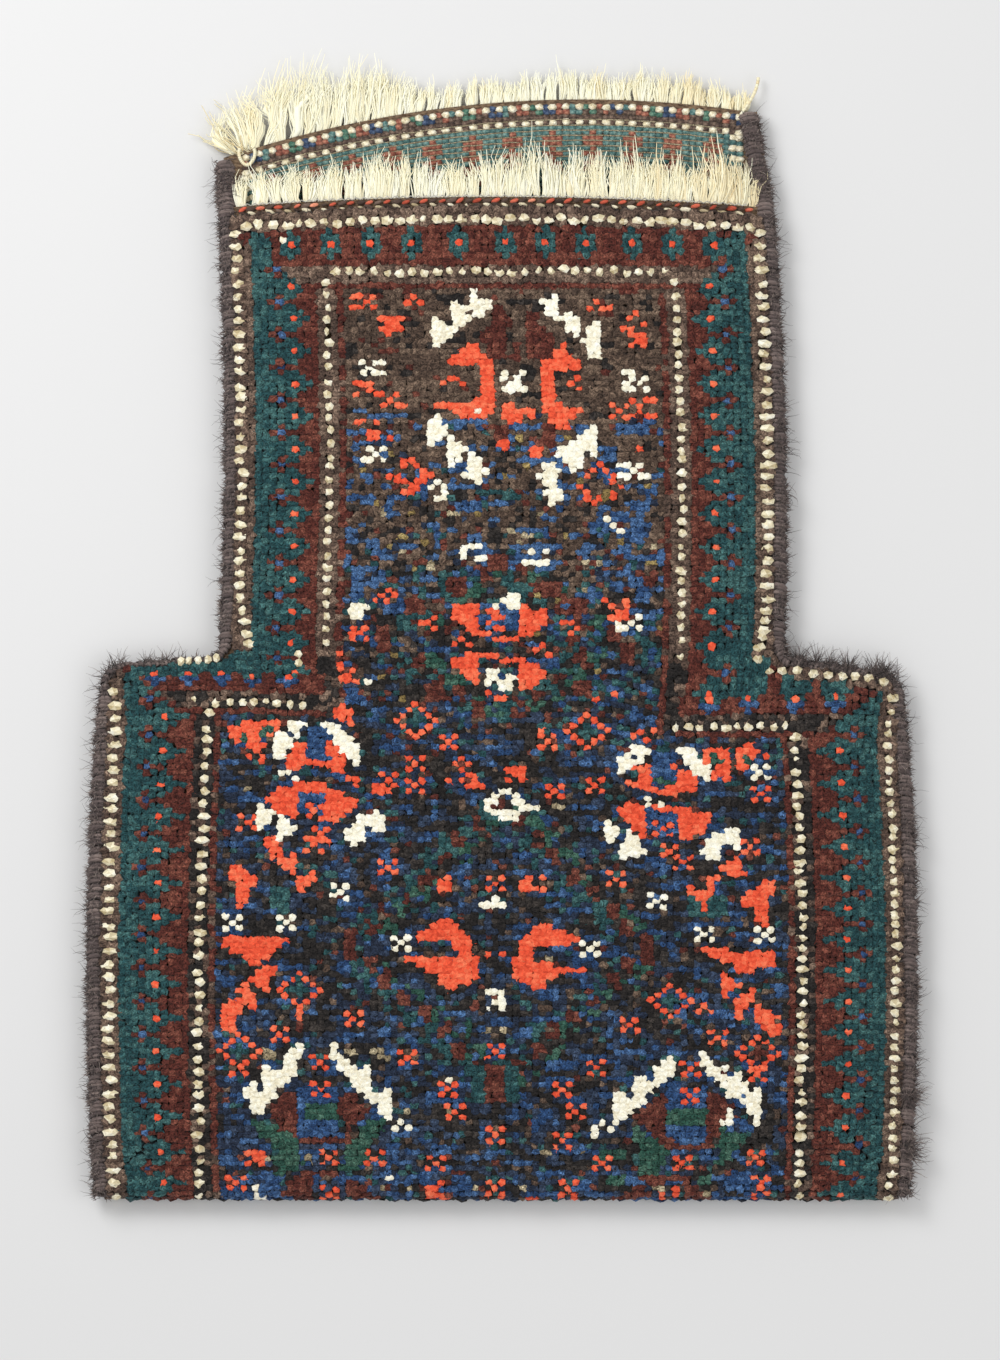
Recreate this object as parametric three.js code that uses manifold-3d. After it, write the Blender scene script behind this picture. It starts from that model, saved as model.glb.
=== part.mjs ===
// Salt bag of knotted pile, lying flat on its back. One woven cloth is folded across the bottom, its two
// layers are overcast together along both sides, and the neck is open at the top. The back layer ends in
// a flap above the mouth, and both woven ends are twined and fringed.
// Millimetres, +X to the right, +Y from the fold to the mouth, +Z out of the front face.

import * as THREE from 'three';
import { mergeVertices } from 'three/addons/utils/BufferGeometryUtils.js';
import Module from 'manifold-3d';

const wasm = await Module();
wasm.setup();

// Outline of the cloth, from the bottom fold and the middle of the body
const neckWidth = 264; // selvedge to selvedge at the shoulders
const shoulderLength = 57.5; // neck to side, along each shoulder
const bodyHeight = 258; // fold to shoulder, beside the neck
const neckHeight = 218; // shoulder to the corners of the front mouth
const foldSpread = 2.5; // how much wider each side stands at the fold than at the shoulder
const bodyBow = 4.5; // outward bow of each side of the body
const leftShoulderDrop = 4; // fall of each shoulder from the neck to its outer corner
const rightShoulderDrop = 9;
const shoulderRadius = 10; // outer corner of a shoulder
const neckRadius = 9; // inner corner where the neck begins
const mouthTaper = 2.5; // how far each side of the neck draws in up to the mouth
const mouthLean = -3; // drift of the neck's middle up to the mouth
const neckSway = 3; // sideways bow of the neck
const mouthRise = 5; // arch of the mouth above its corners
const flapLeftLength = 24; // mouth to the end of the back flap, along each side
const flapRightLength = 46;
const flapRise = 15; // arch of the flap's end above its corners
const flapTaper = 3.5; // how far each side of the flap draws in
const flapLean = -4.5; // drift of the flap's middle up to its end

// The cloth and the room between its layers
const groundThickness = 2.2; // warps and wefts
const pileDepth = 5; // knot ends, on the outer face
const selvedgeWidth = 6.5; // edge without knots, held by the overcasting
const twinedBand = 6.6; // end without knots, which carries the twining
const layerGap = 0.5; // between the layers along the sides
const pocketRise = 8; // further room in the middle of the empty bag
const pocketRamp = 30; // distance from the edges over which the layers part

// Goat-hair overcasting
const hairReach = 4; // outside the selvedge
const hairCover = 7; // over the cloth, from the selvedge inwards
const hairThickness = 10; // round both layers
const flapHairThickness = 7.4; // round the flap alone
const hairFoot = 2.5; // height of its lower end above the fold
const hairFall = 22; // length over which it settles from the mouth down to the flap
const stitchPitch = 12;
const stitchDepth = 0.5; // swell of a wrap above and below the mean thickness
const stitchSlant = 3; // lean of a wrap along the edge

// Twining and fringes
const twineThickness = 2.8;
const twinePitch = 8;
const twineDip = 0.9; // hollow between two turns
const strandPitch = 4.8;
const strandGap = 0.7;
const strandThickness = 1.8;
const strandTip = 2.6; // width of a strand at its tip
const fringeRoot = 2; // length before the strands part
const frontFringeLength = 20;
const backFringeLength = 11;
const tangleLength = 21; // extra length of the strands at the flap's left corner
const tangleSpread = 70; // stretch over which that extra length fades
const strandSway = 2.4; // sideways lean of the strands
const strandRagged = 1.6; // change in length from strand to strand
const frontDroop = 3.5; // fall of the strands from root to tip
const backDroop = 3.5;

// Clearance between pieces, and how finely curved stretches are divided
const clearance = 0.3;
const clothColumns = 18;
const clothRows = 22;
const foldRows = 4;
const curveSteps = 6;
const endSteps = 14;
const hairSides = 8;
const twineLanes = 4;
const swayTurn = 0.37; // turns of the lean and of the length, in radians for each strand
const raggedTurn = 2.1;
const foldStart = Math.PI / 12; // angle at which the fold's round nose begins

const clothThickness = pileDepth + groundThickness;
const foldRadius = clothThickness + layerGap / 2;
const backInner = clothThickness; // height of the back layer's inner face
const bodyHalf = neckWidth / 2 + shoulderLength;
const mouthCorner = bodyHeight + neckHeight;
const topReach = mouthCorner + Math.max(flapLeftLength, flapRightLength) + flapRise;
const sideReach = bodyHalf + foldSpread + bodyBow + selvedgeWidth;
const tallest = 2 * clothThickness + layerGap + pocketRise + 2 * clearance;

// Solids and meshes
function solidOf(geometry) {
  geometry.deleteAttribute('normal');
  geometry.deleteAttribute('uv');
  const merged = mergeVertices(geometry);
  return new wasm.Manifold(new wasm.Mesh({
    numProp: 3,
    vertProperties: new Float32Array(merged.attributes.position.array),
    triVerts: new Uint32Array(merged.index.array),
  }));
}

function meshOf(name, solid, material) {
  const { vertProperties, triVerts } = solid.getMesh();
  const geometry = new THREE.BufferGeometry();
  geometry.setAttribute('position', new THREE.BufferAttribute(new Float32Array(vertProperties), 3));
  geometry.setIndex(new THREE.BufferAttribute(new Uint32Array(triVerts), 1));
  const flat = geometry.toNonIndexed();
  flat.computeVertexNormals();
  const mesh = new THREE.Mesh(flat, material);
  mesh.name = name;
  return mesh;
}

// A box of the given divisions whose points are set by place(across, along, upper), each from 0 to 1
function formedBox(columns, rows, place) {
  const box = new THREE.BoxGeometry(1, 1, 1, columns, rows, 1);
  const points = box.attributes.position;
  for (let i = 0; i < points.count; i += 1) {
    const formed = place(points.getX(i) + 0.5, points.getY(i) + 0.5, points.getZ(i) > 0);
    points.setXYZ(i, formed.x, formed.y, formed.z);
  }
  return solidOf(box);
}

function extruded(shape, depth) {
  return solidOf(new THREE.ExtrudeGeometry(shape, { depth, steps: 1, bevelEnabled: false }));
}

// Outline: side is -1 on the left and 1 on the right, and inset draws the line in from the selvedge
function towards(from, to, distance) {
  return to.clone().sub(from).setLength(distance).add(from);
}

function sideX(side, inset) {
  const neck = side * (neckWidth / 2 - inset);
  const mouth = neck - side * mouthTaper + mouthLean;
  const flap = mouth - side * flapTaper + flapLean;
  const shoulder = side * (bodyHalf - inset);
  return { neck, mouth, flap, shoulder, fold: shoulder + side * foldSpread };
}

function flapCorner(side) {
  return mouthCorner + (side < 0 ? flapLeftLength : flapRightLength);
}

function sidePath(side, inset, foot, endInset) {
  const x = sideX(side, inset);
  const drop = side < 0 ? leftShoulderDrop : rightShoulderDrop;
  const outer = new THREE.Vector2(x.shoulder, bodyHeight - drop - inset);
  const inner = new THREE.Vector2(x.neck, bodyHeight - inset);
  const mouth = new THREE.Vector2(x.mouth, mouthCorner);
  const convex = Math.max(shoulderRadius - inset, clearance);
  const concave = neckRadius + inset;
  const outerStart = new THREE.Vector2(outer.x, outer.y - convex);
  const outerEnd = towards(outer, inner, convex);
  const innerStart = towards(inner, outer, concave);
  const innerEnd = towards(inner, mouth, concave);
  const bodyPull = (x.fold + x.shoulder) / 2 + side * 2 * bodyBow;
  const neckPull = (x.neck + x.mouth) / 2 + 2 * neckSway;
  const path = new THREE.Path();
  path.moveTo(x.fold, foot);
  path.quadraticCurveTo(bodyPull, outer.y / 2, outerStart.x, outerStart.y);
  path.quadraticCurveTo(outer.x, outer.y, outerEnd.x, outerEnd.y);
  path.lineTo(innerStart.x, innerStart.y);
  path.quadraticCurveTo(inner.x, inner.y, innerEnd.x, innerEnd.y);
  path.quadraticCurveTo(neckPull, (inner.y + mouth.y) / 2, mouth.x, mouth.y);
  path.lineTo(x.flap, flapCorner(side) - endInset);
  return path;
}

// Heights of the front mouth and of the flap's end at a place across the neck
function archAt(x, left, right, leftHeight, rightHeight, rise) {
  const across = (x - left) / (right - left);
  return leftHeight + (rightHeight - leftHeight) * across + 4 * rise * across * (1 - across);
}

function mouthY(x) {
  return archAt(x, sideX(-1, 0).mouth, sideX(1, 0).mouth, mouthCorner, mouthCorner, mouthRise);
}

function flapY(x) {
  return archAt(x, sideX(-1, 0).flap, sideX(1, 0).flap, flapCorner(-1), flapCorner(1), flapRise);
}

function clothOutline(inset, endInset) {
  const points = sidePath(-1, inset, -foldRadius, endInset).getPoints(curveSteps);
  const rightSide = sidePath(1, inset, -foldRadius, endInset).getPoints(curveSteps).reverse();
  const left = points[points.length - 1].x;
  const right = rightSide[0].x;
  for (let i = 1; i < endSteps; i += 1) {
    const x = left + (right - left) * i / endSteps;
    points.push(new THREE.Vector2(x, flapY(x) - endInset));
  }
  points.push(...rightSide);
  return new THREE.Shape(points);
}

function cutTo(outline, bottom, solid) {
  return solid.intersect(extruded(outline, 2 * tallest).translate([0, 0, bottom]));
}

// Levels of the front layer, which rises from the edges to the middle of the bag
function edgeDistance(x, y) {
  const lean = mouthLean * Math.max(0, y - bodyHeight) / neckHeight;
  const fromMiddle = Math.abs(x - lean);
  const inNeck = neckWidth / 2 - fromMiddle;
  const inBody = Math.min(bodyHalf - fromMiddle, bodyHeight - y);
  return Math.min(Math.max(inNeck, inBody), y - foldRadius);
}

function frontInner(x, y) {
  const parted = THREE.MathUtils.smoothstep(edgeDistance(x, y), 0, pocketRamp);
  return backInner + layerGap + pocketRise * parted;
}

function frontGround(x, y) {
  return frontInner(x, y) + groundThickness;
}

function frontTop(x, y) {
  return frontGround(x, y) + pileDepth;
}

// A block over the whole cloth, up to a level, with a round nose at the fold where it is asked for
function clothBlock(high, grow, nose) {
  const rows = clothRows + (nose ? foldRows : 0);
  const radius = foldRadius + grow;
  return formedBox(clothColumns, rows, (across, along, upper) => {
    const row = Math.round(along * rows) - (nose ? foldRows : 0);
    const x = (across * 2 - 1) * sideReach;
    if (row < 0) {
      const turn = foldStart + (Math.PI / 2 - foldStart) * (row + foldRows) / foldRows;
      const rise = radius * Math.sin(turn);
      return new THREE.Vector3(x, foldRadius - radius * Math.cos(turn), foldRadius + (upper ? rise : -rise));
    }
    const start = nose ? foldRadius : foldRadius - grow;
    const y = THREE.MathUtils.lerp(start, topReach + clearance, row / clothRows);
    return new THREE.Vector3(x, y, upper ? high(x, y) : -tallest);
  });
}

// A slab over the neck, from one height curve to another, between two levels
function endSlab(from, to, low, high) {
  return formedBox(clothColumns, 1, (across, along, upper) => {
    const x = (across * 2 - 1) * sideReach;
    const y = along > 0.5 ? to(x) : from(x);
    return new THREE.Vector3(x, y, upper ? high(x, y) : low(x, y));
  });
}

// The cloth itself, or what other pieces keep clear of: the same form grown by the clearance and filled
function wovenCloth(grow) {
  const pile = cutTo(
    clothOutline(selvedgeWidth - grow, -grow), -grow,
    clothBlock((x, y) => frontTop(x, y) + grow, grow, true),
  );
  const ground = cutTo(
    clothOutline(-grow, -grow), pileDepth - grow,
    clothBlock((x, y) => frontGround(x, y) + grow, grow, false),
  );
  const pastEnd = () => 2 * topReach;
  const overMouth = endSlab((x) => mouthY(x) + grow, pastEnd, () => backInner + grow, () => 2 * tallest);
  const frontEnd = endSlab(
    (x) => mouthY(x) - twinedBand + grow, pastEnd,
    (x, y) => frontGround(x, Math.min(y, mouthY(x))) + grow, () => 2 * tallest,
  );
  const backEnd = endSlab(
    (x) => flapY(x) - twinedBand + grow, pastEnd,
    () => -tallest, () => pileDepth - grow,
  );
  return pile.add(ground).subtract(overMouth).subtract(frontEnd).subtract(backEnd);
}

function pocket() {
  const room = new THREE.BoxGeometry(3 * sideReach, 3 * topReach, 2 * tallest);
  room.translate(0, 0, backInner + tallest);
  return clothBlock(frontInner, 0, false).intersect(solidOf(room));
}

const clothEnvelope = wovenCloth(clearance);

// Overcasting: a round of wraps bent along the selvedge, hollow where the cloth's edges pass inside it
function overcasting(side) {
  const inset = (hairCover - hairReach) / 2;
  const halfWidth = (hairCover + hairReach) / 2;
  const path = sidePath(side, inset, hairFoot, 0);
  const wraps = Math.max(1, Math.round(path.getLength() / stitchPitch));
  const rings = 2 * wraps;
  const tube = new THREE.CylinderGeometry(1, 1, 1, hairSides, rings);
  const points = tube.attributes.position;
  const slantShare = stitchSlant / path.getLength();
  for (let i = 0; i < points.count; i += 1) {
    const along = points.getY(i) + 0.5;
    const ring = Math.round(along * rings);
    const capped = ring === 0 || ring === rings;
    const slanted = along + (capped ? 0 : slantShare * points.getZ(i));
    const at = THREE.MathUtils.clamp(slanted, 0, 1);
    const centre = path.getPointAt(at);
    const heading = path.getTangentAt(at);
    const onFlap = THREE.MathUtils.smoothstep(centre.y - mouthY(centre.x), 0, hairFall);
    const height = THREE.MathUtils.lerp(hairThickness, flapHairThickness, onFlap);
    const sidesLevel = backInner + layerGap / 2;
    const flapLevel = pileDepth + groundThickness / 2;
    const middle = THREE.MathUtils.lerp(sidesLevel, flapLevel, onFlap);
    const swell = ring % 2 === 1 ? stitchDepth : -stitchDepth;
    const outward = points.getX(i) * (halfWidth + swell);
    points.setXYZ(
      i,
      centre.x + heading.y * outward,
      centre.y - heading.x * outward,
      middle + points.getZ(i) * (height / 2 + swell),
    );
  }
  return solidOf(tube).subtract(clothEnvelope);
}

// Twining: two rows of twisted yarn laid side by side on the unknotted end of the cloth
function twining(endY, corner, seat, facing) {
  const turns = Math.max(1, Math.round((trimX(1, corner) - trimX(-1, corner)) / twinePitch));
  const strip = formedBox(2 * turns, twineLanes, (across, along, upper) => {
    const column = Math.round(across * 2 * turns);
    const lane = Math.round(along * twineLanes);
    const rootX = acrossTrim(across, endY(acrossTrim(across, corner)));
    const y = endY(rootX) - (twinedBand - clearance) * (1 - along);
    const x = acrossTrim(across, y);
    const between = lane % 2 === 0 ? twineDip : 0;
    const staggered = lane > twineLanes / 2 ? column + 1 : column;
    const turned = staggered % 2 === 0 ? twineDip : 0;
    const outer = seat(x, y) + facing * (clearance + twineThickness - between - turned);
    return new THREE.Vector3(x, y, upper === facing > 0 ? outer : seat(x, y));
  });
  return strip.subtract(clothEnvelope);
}

// The inner limit of the overcasting beside the flap, and a place between its two sides
function trimX(side, y) {
  const x = sideX(side, hairCover + stitchDepth + clearance);
  return x.mouth + (x.flap - x.mouth) * (y - mouthCorner) / (flapCorner(side) - mouthCorner);
}

function acrossTrim(share, y) {
  return THREE.MathUtils.lerp(trimX(-1, y), trimX(1, y), share);
}

// Fringe: one comb of tapered strands, standing on a short common root past a woven end
function fringe(endY, corner, rootLow, lengthAt, droop, lowest) {
  const width = trimX(1, corner) - trimX(-1, corner);
  const strands = Math.max(1, Math.round(width / strandPitch));
  const pitch = width / strands;
  const halfFoot = (pitch - strandGap) / 2;
  const reachTo = (along, out) => {
    const share = THREE.MathUtils.clamp(along / width, 0, 1);
    const rootX = acrossTrim(share, endY(acrossTrim(share, corner)));
    const y = endY(rootX) + clearance + out;
    return new THREE.Vector2(acrossTrim(share, y), y);
  };
  const outline = [];
  for (let i = 0; i <= endSteps; i += 1) {
    outline.push(reachTo(width * i / endSteps, 0));
  }
  for (let i = strands - 1; i >= 0; i -= 1) {
    const middle = pitch * (i + 0.5);
    const length = lengthAt(middle) + strandRagged * Math.sin(i * raggedTurn);
    const tip = middle + strandSway * Math.sin(i * swayTurn);
    outline.push(
      reachTo(middle + halfFoot, fringeRoot),
      reachTo(tip + strandTip / 2, length),
      reachTo(tip - strandTip / 2, length),
      reachTo(middle - halfFoot, fringeRoot),
    );
  }
  const strandsAndRoot = new THREE.ExtrudeGeometry(
    new THREE.Shape(outline), { depth: strandThickness, steps: 1, bevelEnabled: false },
  );
  const points = strandsAndRoot.attributes.position;
  for (let i = 0; i < points.count; i += 1) {
    const x = points.getX(i);
    const out = Math.max(0, points.getY(i) - endY(x) - clearance);
    const fallen = droop * out / lengthAt(x - trimX(-1, corner));
    const root = rootLow(x) + (groundThickness - strandThickness) / 2;
    points.setZ(i, Math.max(root - fallen, Math.min(root, lowest)) + points.getZ(i));
  }
  return solidOf(strandsAndRoot);
}

const flapMiddle = (flapCorner(-1) + flapCorner(1)) / 2;

function backFringeAt(along) {
  const fromCorner = THREE.MathUtils.clamp(along / tangleSpread, 0, 1);
  return backFringeLength + tangleLength * (1 - fromCorner) ** 2;
}

const pileWool = new THREE.MeshStandardMaterial({ color: 0x2b3350, roughness: 0.95, metalness: 0 });
const goatHair = new THREE.MeshStandardMaterial({ color: 0x46352f, roughness: 0.9, metalness: 0 });
const twineWool = new THREE.MeshStandardMaterial({ color: 0xb0553f, roughness: 0.9, metalness: 0 });
const warpWool = new THREE.MeshStandardMaterial({ color: 0xe6dcc0, roughness: 0.9, metalness: 0 });

const bag = new THREE.Group();
bag.add(meshOf('pile_cloth', wovenCloth(0).subtract(pocket()), pileWool));
bag.add(meshOf('left_overcasting', overcasting(-1), goatHair));
bag.add(meshOf('right_overcasting', overcasting(1), goatHair));
bag.add(meshOf('front_twining', twining(mouthY, mouthCorner, frontGround, 1), twineWool));
bag.add(meshOf('back_twining', twining(flapY, flapMiddle, () => pileDepth, -1), twineWool));
bag.add(meshOf(
  'front_fringe',
  fringe(
    mouthY, mouthCorner, (x) => frontInner(x, mouthY(x)),
    () => frontFringeLength, frontDroop, backInner + clearance,
  ),
  warpWool,
));
bag.add(meshOf(
  'back_fringe',
  fringe(flapY, flapMiddle, () => pileDepth, backFringeAt, backDroop, clearance),
  warpWool,
));

// The origin is under the middle of the bag, on the surface it lies on
const reach = new THREE.Box3().setFromObject(bag);
bag.position.set(-(reach.min.x + reach.max.x) / 2, -(reach.min.y + reach.max.y) / 2, -reach.min.z);

export default bag;
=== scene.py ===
# Salt bag of knotted wool pile, lying flat on its back
import math

import bmesh
import bpy
import numpy as np
from mathutils import Matrix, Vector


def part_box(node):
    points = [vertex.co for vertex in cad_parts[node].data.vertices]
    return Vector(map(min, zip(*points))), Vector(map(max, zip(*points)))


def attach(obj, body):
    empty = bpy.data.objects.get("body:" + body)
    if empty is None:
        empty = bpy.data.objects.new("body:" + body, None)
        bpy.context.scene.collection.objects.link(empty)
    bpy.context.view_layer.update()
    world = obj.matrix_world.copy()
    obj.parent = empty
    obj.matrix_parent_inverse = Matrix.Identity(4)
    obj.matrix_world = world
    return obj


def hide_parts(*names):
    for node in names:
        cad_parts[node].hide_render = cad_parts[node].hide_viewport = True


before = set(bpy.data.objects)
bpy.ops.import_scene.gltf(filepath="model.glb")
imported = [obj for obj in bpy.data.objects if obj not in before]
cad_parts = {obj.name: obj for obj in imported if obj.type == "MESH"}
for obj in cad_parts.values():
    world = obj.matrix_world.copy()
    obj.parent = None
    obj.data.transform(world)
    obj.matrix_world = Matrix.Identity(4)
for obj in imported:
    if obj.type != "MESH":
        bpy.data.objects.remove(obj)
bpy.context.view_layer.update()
body = "root"
mm = 0.001
rng = np.random.default_rng(11)
scene = bpy.context.scene
print("stage: frame loaded,", len(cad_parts), "nodes")

# The bag's outline, measured up from the fold
foldDrop = 0.25 * mm  # the knots' fold lies this far below the solid's
outline = {
    "foldY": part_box("pile_cloth")[0][1] - foldDrop,
    "neckHalf": 132 * mm,
    "bodyHalf": 189.5 * mm,
    "bodyHeight": 258 * mm,
    "mouthY": 476 * mm,
    "foldSpread": 2.5 * mm,
    "bodyBow": 4.5 * mm,
    "shoulderDrop": {-1: 4 * mm, 1: 9 * mm},
    "shoulderSpan": (235 * mm, 264 * mm),
    "outerRound": 10 * mm,
    "innerRound": 9 * mm,
    "mouthTaper": 2.5 * mm,
    "mouthLean": -3 * mm,
    "neckSway": 3 * mm,
    "mouthRise": 5 * mm,
    "flapLength": {-1: 24 * mm, 1: 46 * mm},
    "flapRise": 15 * mm,
    "flapTaper": 3.5 * mm,
    "flapLean": -4.5 * mm,
}

# The two layers of cloth, measured up from the floor
layers = {
    "backGround": 5 * mm,
    "groundThickness": 2.2 * mm,
    "frontGround": 9.9 * mm,
    "pileDepth": 5 * mm,
    "pocketRise": 8 * mm,
    "pocketRamp": 30 * mm,
    "foldMiddle": 7.45 * mm,
    "foldRadius": 2.45 * mm,
    "twinedBand": 6.6 * mm,
}

# The grid of knots that the pattern is drawn on, and the room it keeps from the cloth's edges
weave = {
    "rowHeight": 2.6 * mm,
    "neckColumns": 79,
    "bodyColumns": 119,
    "half": 60,
    "rows": {False: 186, True: 206},  # front, then back
    "topRow": {False: 178, True: 186},
    "noseRows": 3,
    "inset": 3 * mm,
    "edgeRoom": 2.6 * mm,
    "shoulderRoom": {-1: 0.3 * mm, 1: 1.4 * mm},
    "twinedOverlap": 0.8 * mm,
}

# How the weaving lies: where its columns change from body to neck, and how its rows tilt and rise
lie = {
    "neckStarts": (225 * mm, 275 * mm),
    "leftTilt": 3.6 * mm,
    "leftTiltX": (60 * mm, 95 * mm),
    "rightTilt": 6.8 * mm,
    "rightTiltX": (50 * mm, 85 * mm),
    "tiltGrows": (40 * mm, 215 * mm),
    "tiltEnds": (238 * mm, 275 * mm),
    "frontRise": (440 * mm, 470 * mm),
    "backRise": (430 * mm, 490 * mm),
}


def smoothStep(value, low, high):
    share = np.clip((value - low) / (high - low), 0, 1)
    return share * share * (3 - 2 * share)


def unit(ways):
    return ways / np.linalg.norm(ways, axis=1)[:, None]


def bend(start, pull, end, steps=14):
    share = np.linspace(0, 1, steps + 1)[:, None]
    return (1 - share) ** 2 * start + 2 * share * (1 - share) * pull + share ** 2 * end


def selvedge(side):
    o = outline
    outer = np.array([side * o["bodyHalf"], o["bodyHeight"] - o["shoulderDrop"][side]])
    inner = np.array([side * o["neckHalf"], o["bodyHeight"]])
    mouth = np.array([side * (o["neckHalf"] - o["mouthTaper"]) + o["mouthLean"], o["mouthY"]])
    flap = mouth + np.array([o["flapLean"] - side * o["flapTaper"], o["flapLength"][side]])
    fold = np.array([outer[0] + side * o["foldSpread"], 0])
    shoulder = (inner - outer) / np.linalg.norm(inner - outer)
    neck = (mouth - inner) / np.linalg.norm(mouth - inner)
    outerStart = outer - np.array([0, o["outerRound"]])
    outerEnd = outer + shoulder * o["outerRound"]
    innerStart = inner - shoulder * o["innerRound"]
    innerEnd = inner + neck * o["innerRound"]
    bodyPull = np.array([(fold[0] + outer[0]) / 2 + side * 2 * o["bodyBow"], outer[1] / 2])
    neckPull = (inner + mouth) / 2 + np.array([2 * o["neckSway"], 0])
    return np.vstack([
        bend(fold, bodyPull, outerStart),
        bend(outerStart, outer, outerEnd)[1:],
        bend(innerStart, inner, innerEnd),
        bend(innerEnd, neckPull, mouth)[1:],
        flap[None, :],
    ])


sidePaths = {side: selvedge(side) for side in (-1, 1)}


def edgeX(side, y):
    return np.interp(y, sidePaths[side][:, 1], sidePaths[side][:, 0])


# How far across an edge a place is, from its left end to its right
def acrossEdge(x, left, right):
    return np.clip((x - left) / (right - left), 0, 1)


def mouthEdge(x):
    t = acrossEdge(x, sidePaths[-1][-2][0], sidePaths[1][-2][0])
    return outline["mouthY"] + 4 * outline["mouthRise"] * t * (1 - t)


def flapEdge(x):
    left = sidePaths[-1][-1]
    right = sidePaths[1][-1]
    t = acrossEdge(x, left[0], right[0])
    return left[1] + (right[1] - left[1]) * t + 4 * outline["flapRise"] * t * (1 - t)


def frontLevel(x, y):
    o = outline
    neckPart = o["mouthY"] - o["bodyHeight"]
    lean = o["mouthLean"] * np.maximum(0, y - o["bodyHeight"]) / neckPart
    away = np.abs(x - lean)
    inNeck = o["neckHalf"] - away
    inBody = np.minimum(o["bodyHalf"] - away, o["bodyHeight"] - y)
    inside = np.minimum(np.maximum(inNeck, inBody), y - layers["foldMiddle"])
    return layers["frontGround"] + layers["pocketRise"] * smoothStep(inside, 0, layers["pocketRamp"])


# Where each knot of the grid lies on the cloth, slack and tilted as the weaving is
def lieOfKnots(column, row, back=False):
    y = (row + 0.5) * weave["rowHeight"]
    bodyTop, neckFoot = lie["neckStarts"]
    bodyY = np.minimum(y, bodyTop)
    neckY = np.maximum(y, neckFoot)
    inset = 2 * weave["inset"]
    bodyStep = (edgeX(1, bodyY) - edgeX(-1, bodyY) - inset) / weave["bodyColumns"]
    neckStep = (edgeX(1, neckY) - edgeX(-1, neckY) - inset) / weave["neckColumns"]
    bodyMiddle = (edgeX(1, bodyY) + edgeX(-1, bodyY)) / 2
    neckMiddle = (edgeX(1, neckY) + edgeX(-1, neckY)) / 2
    share = smoothStep(y, bodyTop, neckFoot)
    x = bodyMiddle + (neckMiddle - bodyMiddle) * share
    x = x + column * (bodyStep + (neckStep - bodyStep) * share)
    tilt = lie["leftTilt"] * smoothStep(-x, *lie["leftTiltX"])
    tilt = tilt - lie["rightTilt"] * smoothStep(x, *lie["rightTiltX"])
    tilt = tilt * smoothStep(y, *lie["tiltGrows"]) * (1 - smoothStep(y, *lie["tiltEnds"]))
    if back:
        rise = smoothStep(y, *lie["backRise"]) * (flapEdge(x) - sidePaths[-1][-1][1])
    else:
        rise = smoothStep(y, *lie["frontRise"]) * (mouthEdge(x) - outline["mouthY"])
    return x, y + tilt + rise


def shoulderY(side, x):
    low, high = outline["shoulderSpan"]
    path = sidePaths[side]
    slope = path[(path[:, 1] > low) & (path[:, 1] < high)][::-1]
    return np.interp(side * x, side * slope[:, 0], slope[:, 1])


def onCloth(x, y, back=False, inset=weave["edgeRoom"]):
    inside = (x > edgeX(-1, y) + inset) & (x < edgeX(1, y) - inset)
    above = y + np.where(x < 0, weave["shoulderRoom"][-1], weave["shoulderRoom"][1])
    inside &= (x > edgeX(-1, above) + inset) & (x < edgeX(1, above) - inset)
    top = flapEdge(x) if back else mouthEdge(x)
    return inside & (y < top - layers["twinedBand"] + weave["twinedOverlap"])


# The place a knot is tied at, with the ways across, along and out of the cloth there
def clothFrames(x, y, back=False):
    face = -1 if back else 1
    nose = weave["noseRows"] * weave["rowHeight"]
    turn = np.clip(y / nose, 0, 1) * math.pi / 2
    onNose = y < nose
    step = 1 * mm
    flat = np.maximum(y, nose)
    if back:
        level = np.full_like(x, layers["backGround"])
        slopeX = np.zeros_like(x)
        slopeY = np.zeros_like(x)
    else:
        level = frontLevel(x, flat)
        slopeX = (frontLevel(x + step, flat) - frontLevel(x - step, flat)) / (2 * step)
        slopeY = (frontLevel(x, flat + step) - frontLevel(x, flat - step)) / (2 * step)
    middle = layers["foldMiddle"]
    radius = layers["foldRadius"]
    base = np.stack([
        x,
        np.where(onNose, middle - radius * np.cos(turn), y) + outline["foldY"],
        np.where(onNose, middle + face * radius * np.sin(turn), level),
    ], 1)
    out = unit(np.stack([
        np.where(onNose, 0, -slopeX),
        np.where(onNose, -np.cos(turn), -slopeY),
        np.where(onNose, face * np.sin(turn), face),
    ], 1))
    along = unit(np.stack([
        np.zeros_like(x),
        np.where(onNose, np.sin(turn), 1),
        np.where(onNose, face * np.cos(turn), slopeY),
    ], 1))
    return base, np.cross(along, out) * face, along, out


# Colours as they look in daylight, darker wool first and paler last
dyes = {
    "dark": [(20, 18, 18), (36, 33, 32), (66, 60, 56)],
    "brown": [(50, 40, 34), (82, 66, 56), (124, 104, 88)],
    "guard": [(46, 36, 31), (86, 69, 60), (138, 116, 100)],
    "navy": [(21, 28, 43), (37, 47, 66), (63, 78, 102)],
    "blue": [(24, 42, 72), (41, 70, 111), (80, 114, 158)],
    "teal": [(18, 44, 49), (36, 73, 77), (70, 109, 107)],
    "green": [(26, 54, 48), (42, 80, 68), (78, 112, 96)],
    "rust": [(52, 25, 22), (87, 42, 35), (128, 75, 61)],
    "red": [(184, 58, 38), (237, 87, 56), (250, 128, 90)],
    "cream": [(232, 222, 192), (254, 250, 230), (255, 254, 244)],
    "fawn": [(96, 84, 64), (150, 136, 108), (196, 182, 150)],
    "olive": [(84, 70, 42), (132, 112, 68), (178, 158, 104)],
}
dyeNames = list(dyes)
dyeIndex = {name: number for number, name in enumerate(dyeNames)}
woolFinish = {"Roughness": 0.88, "Specular IOR Level": 0.15, "Sheen Weight": 0.12, "Sheen Roughness": 0.5}


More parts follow.
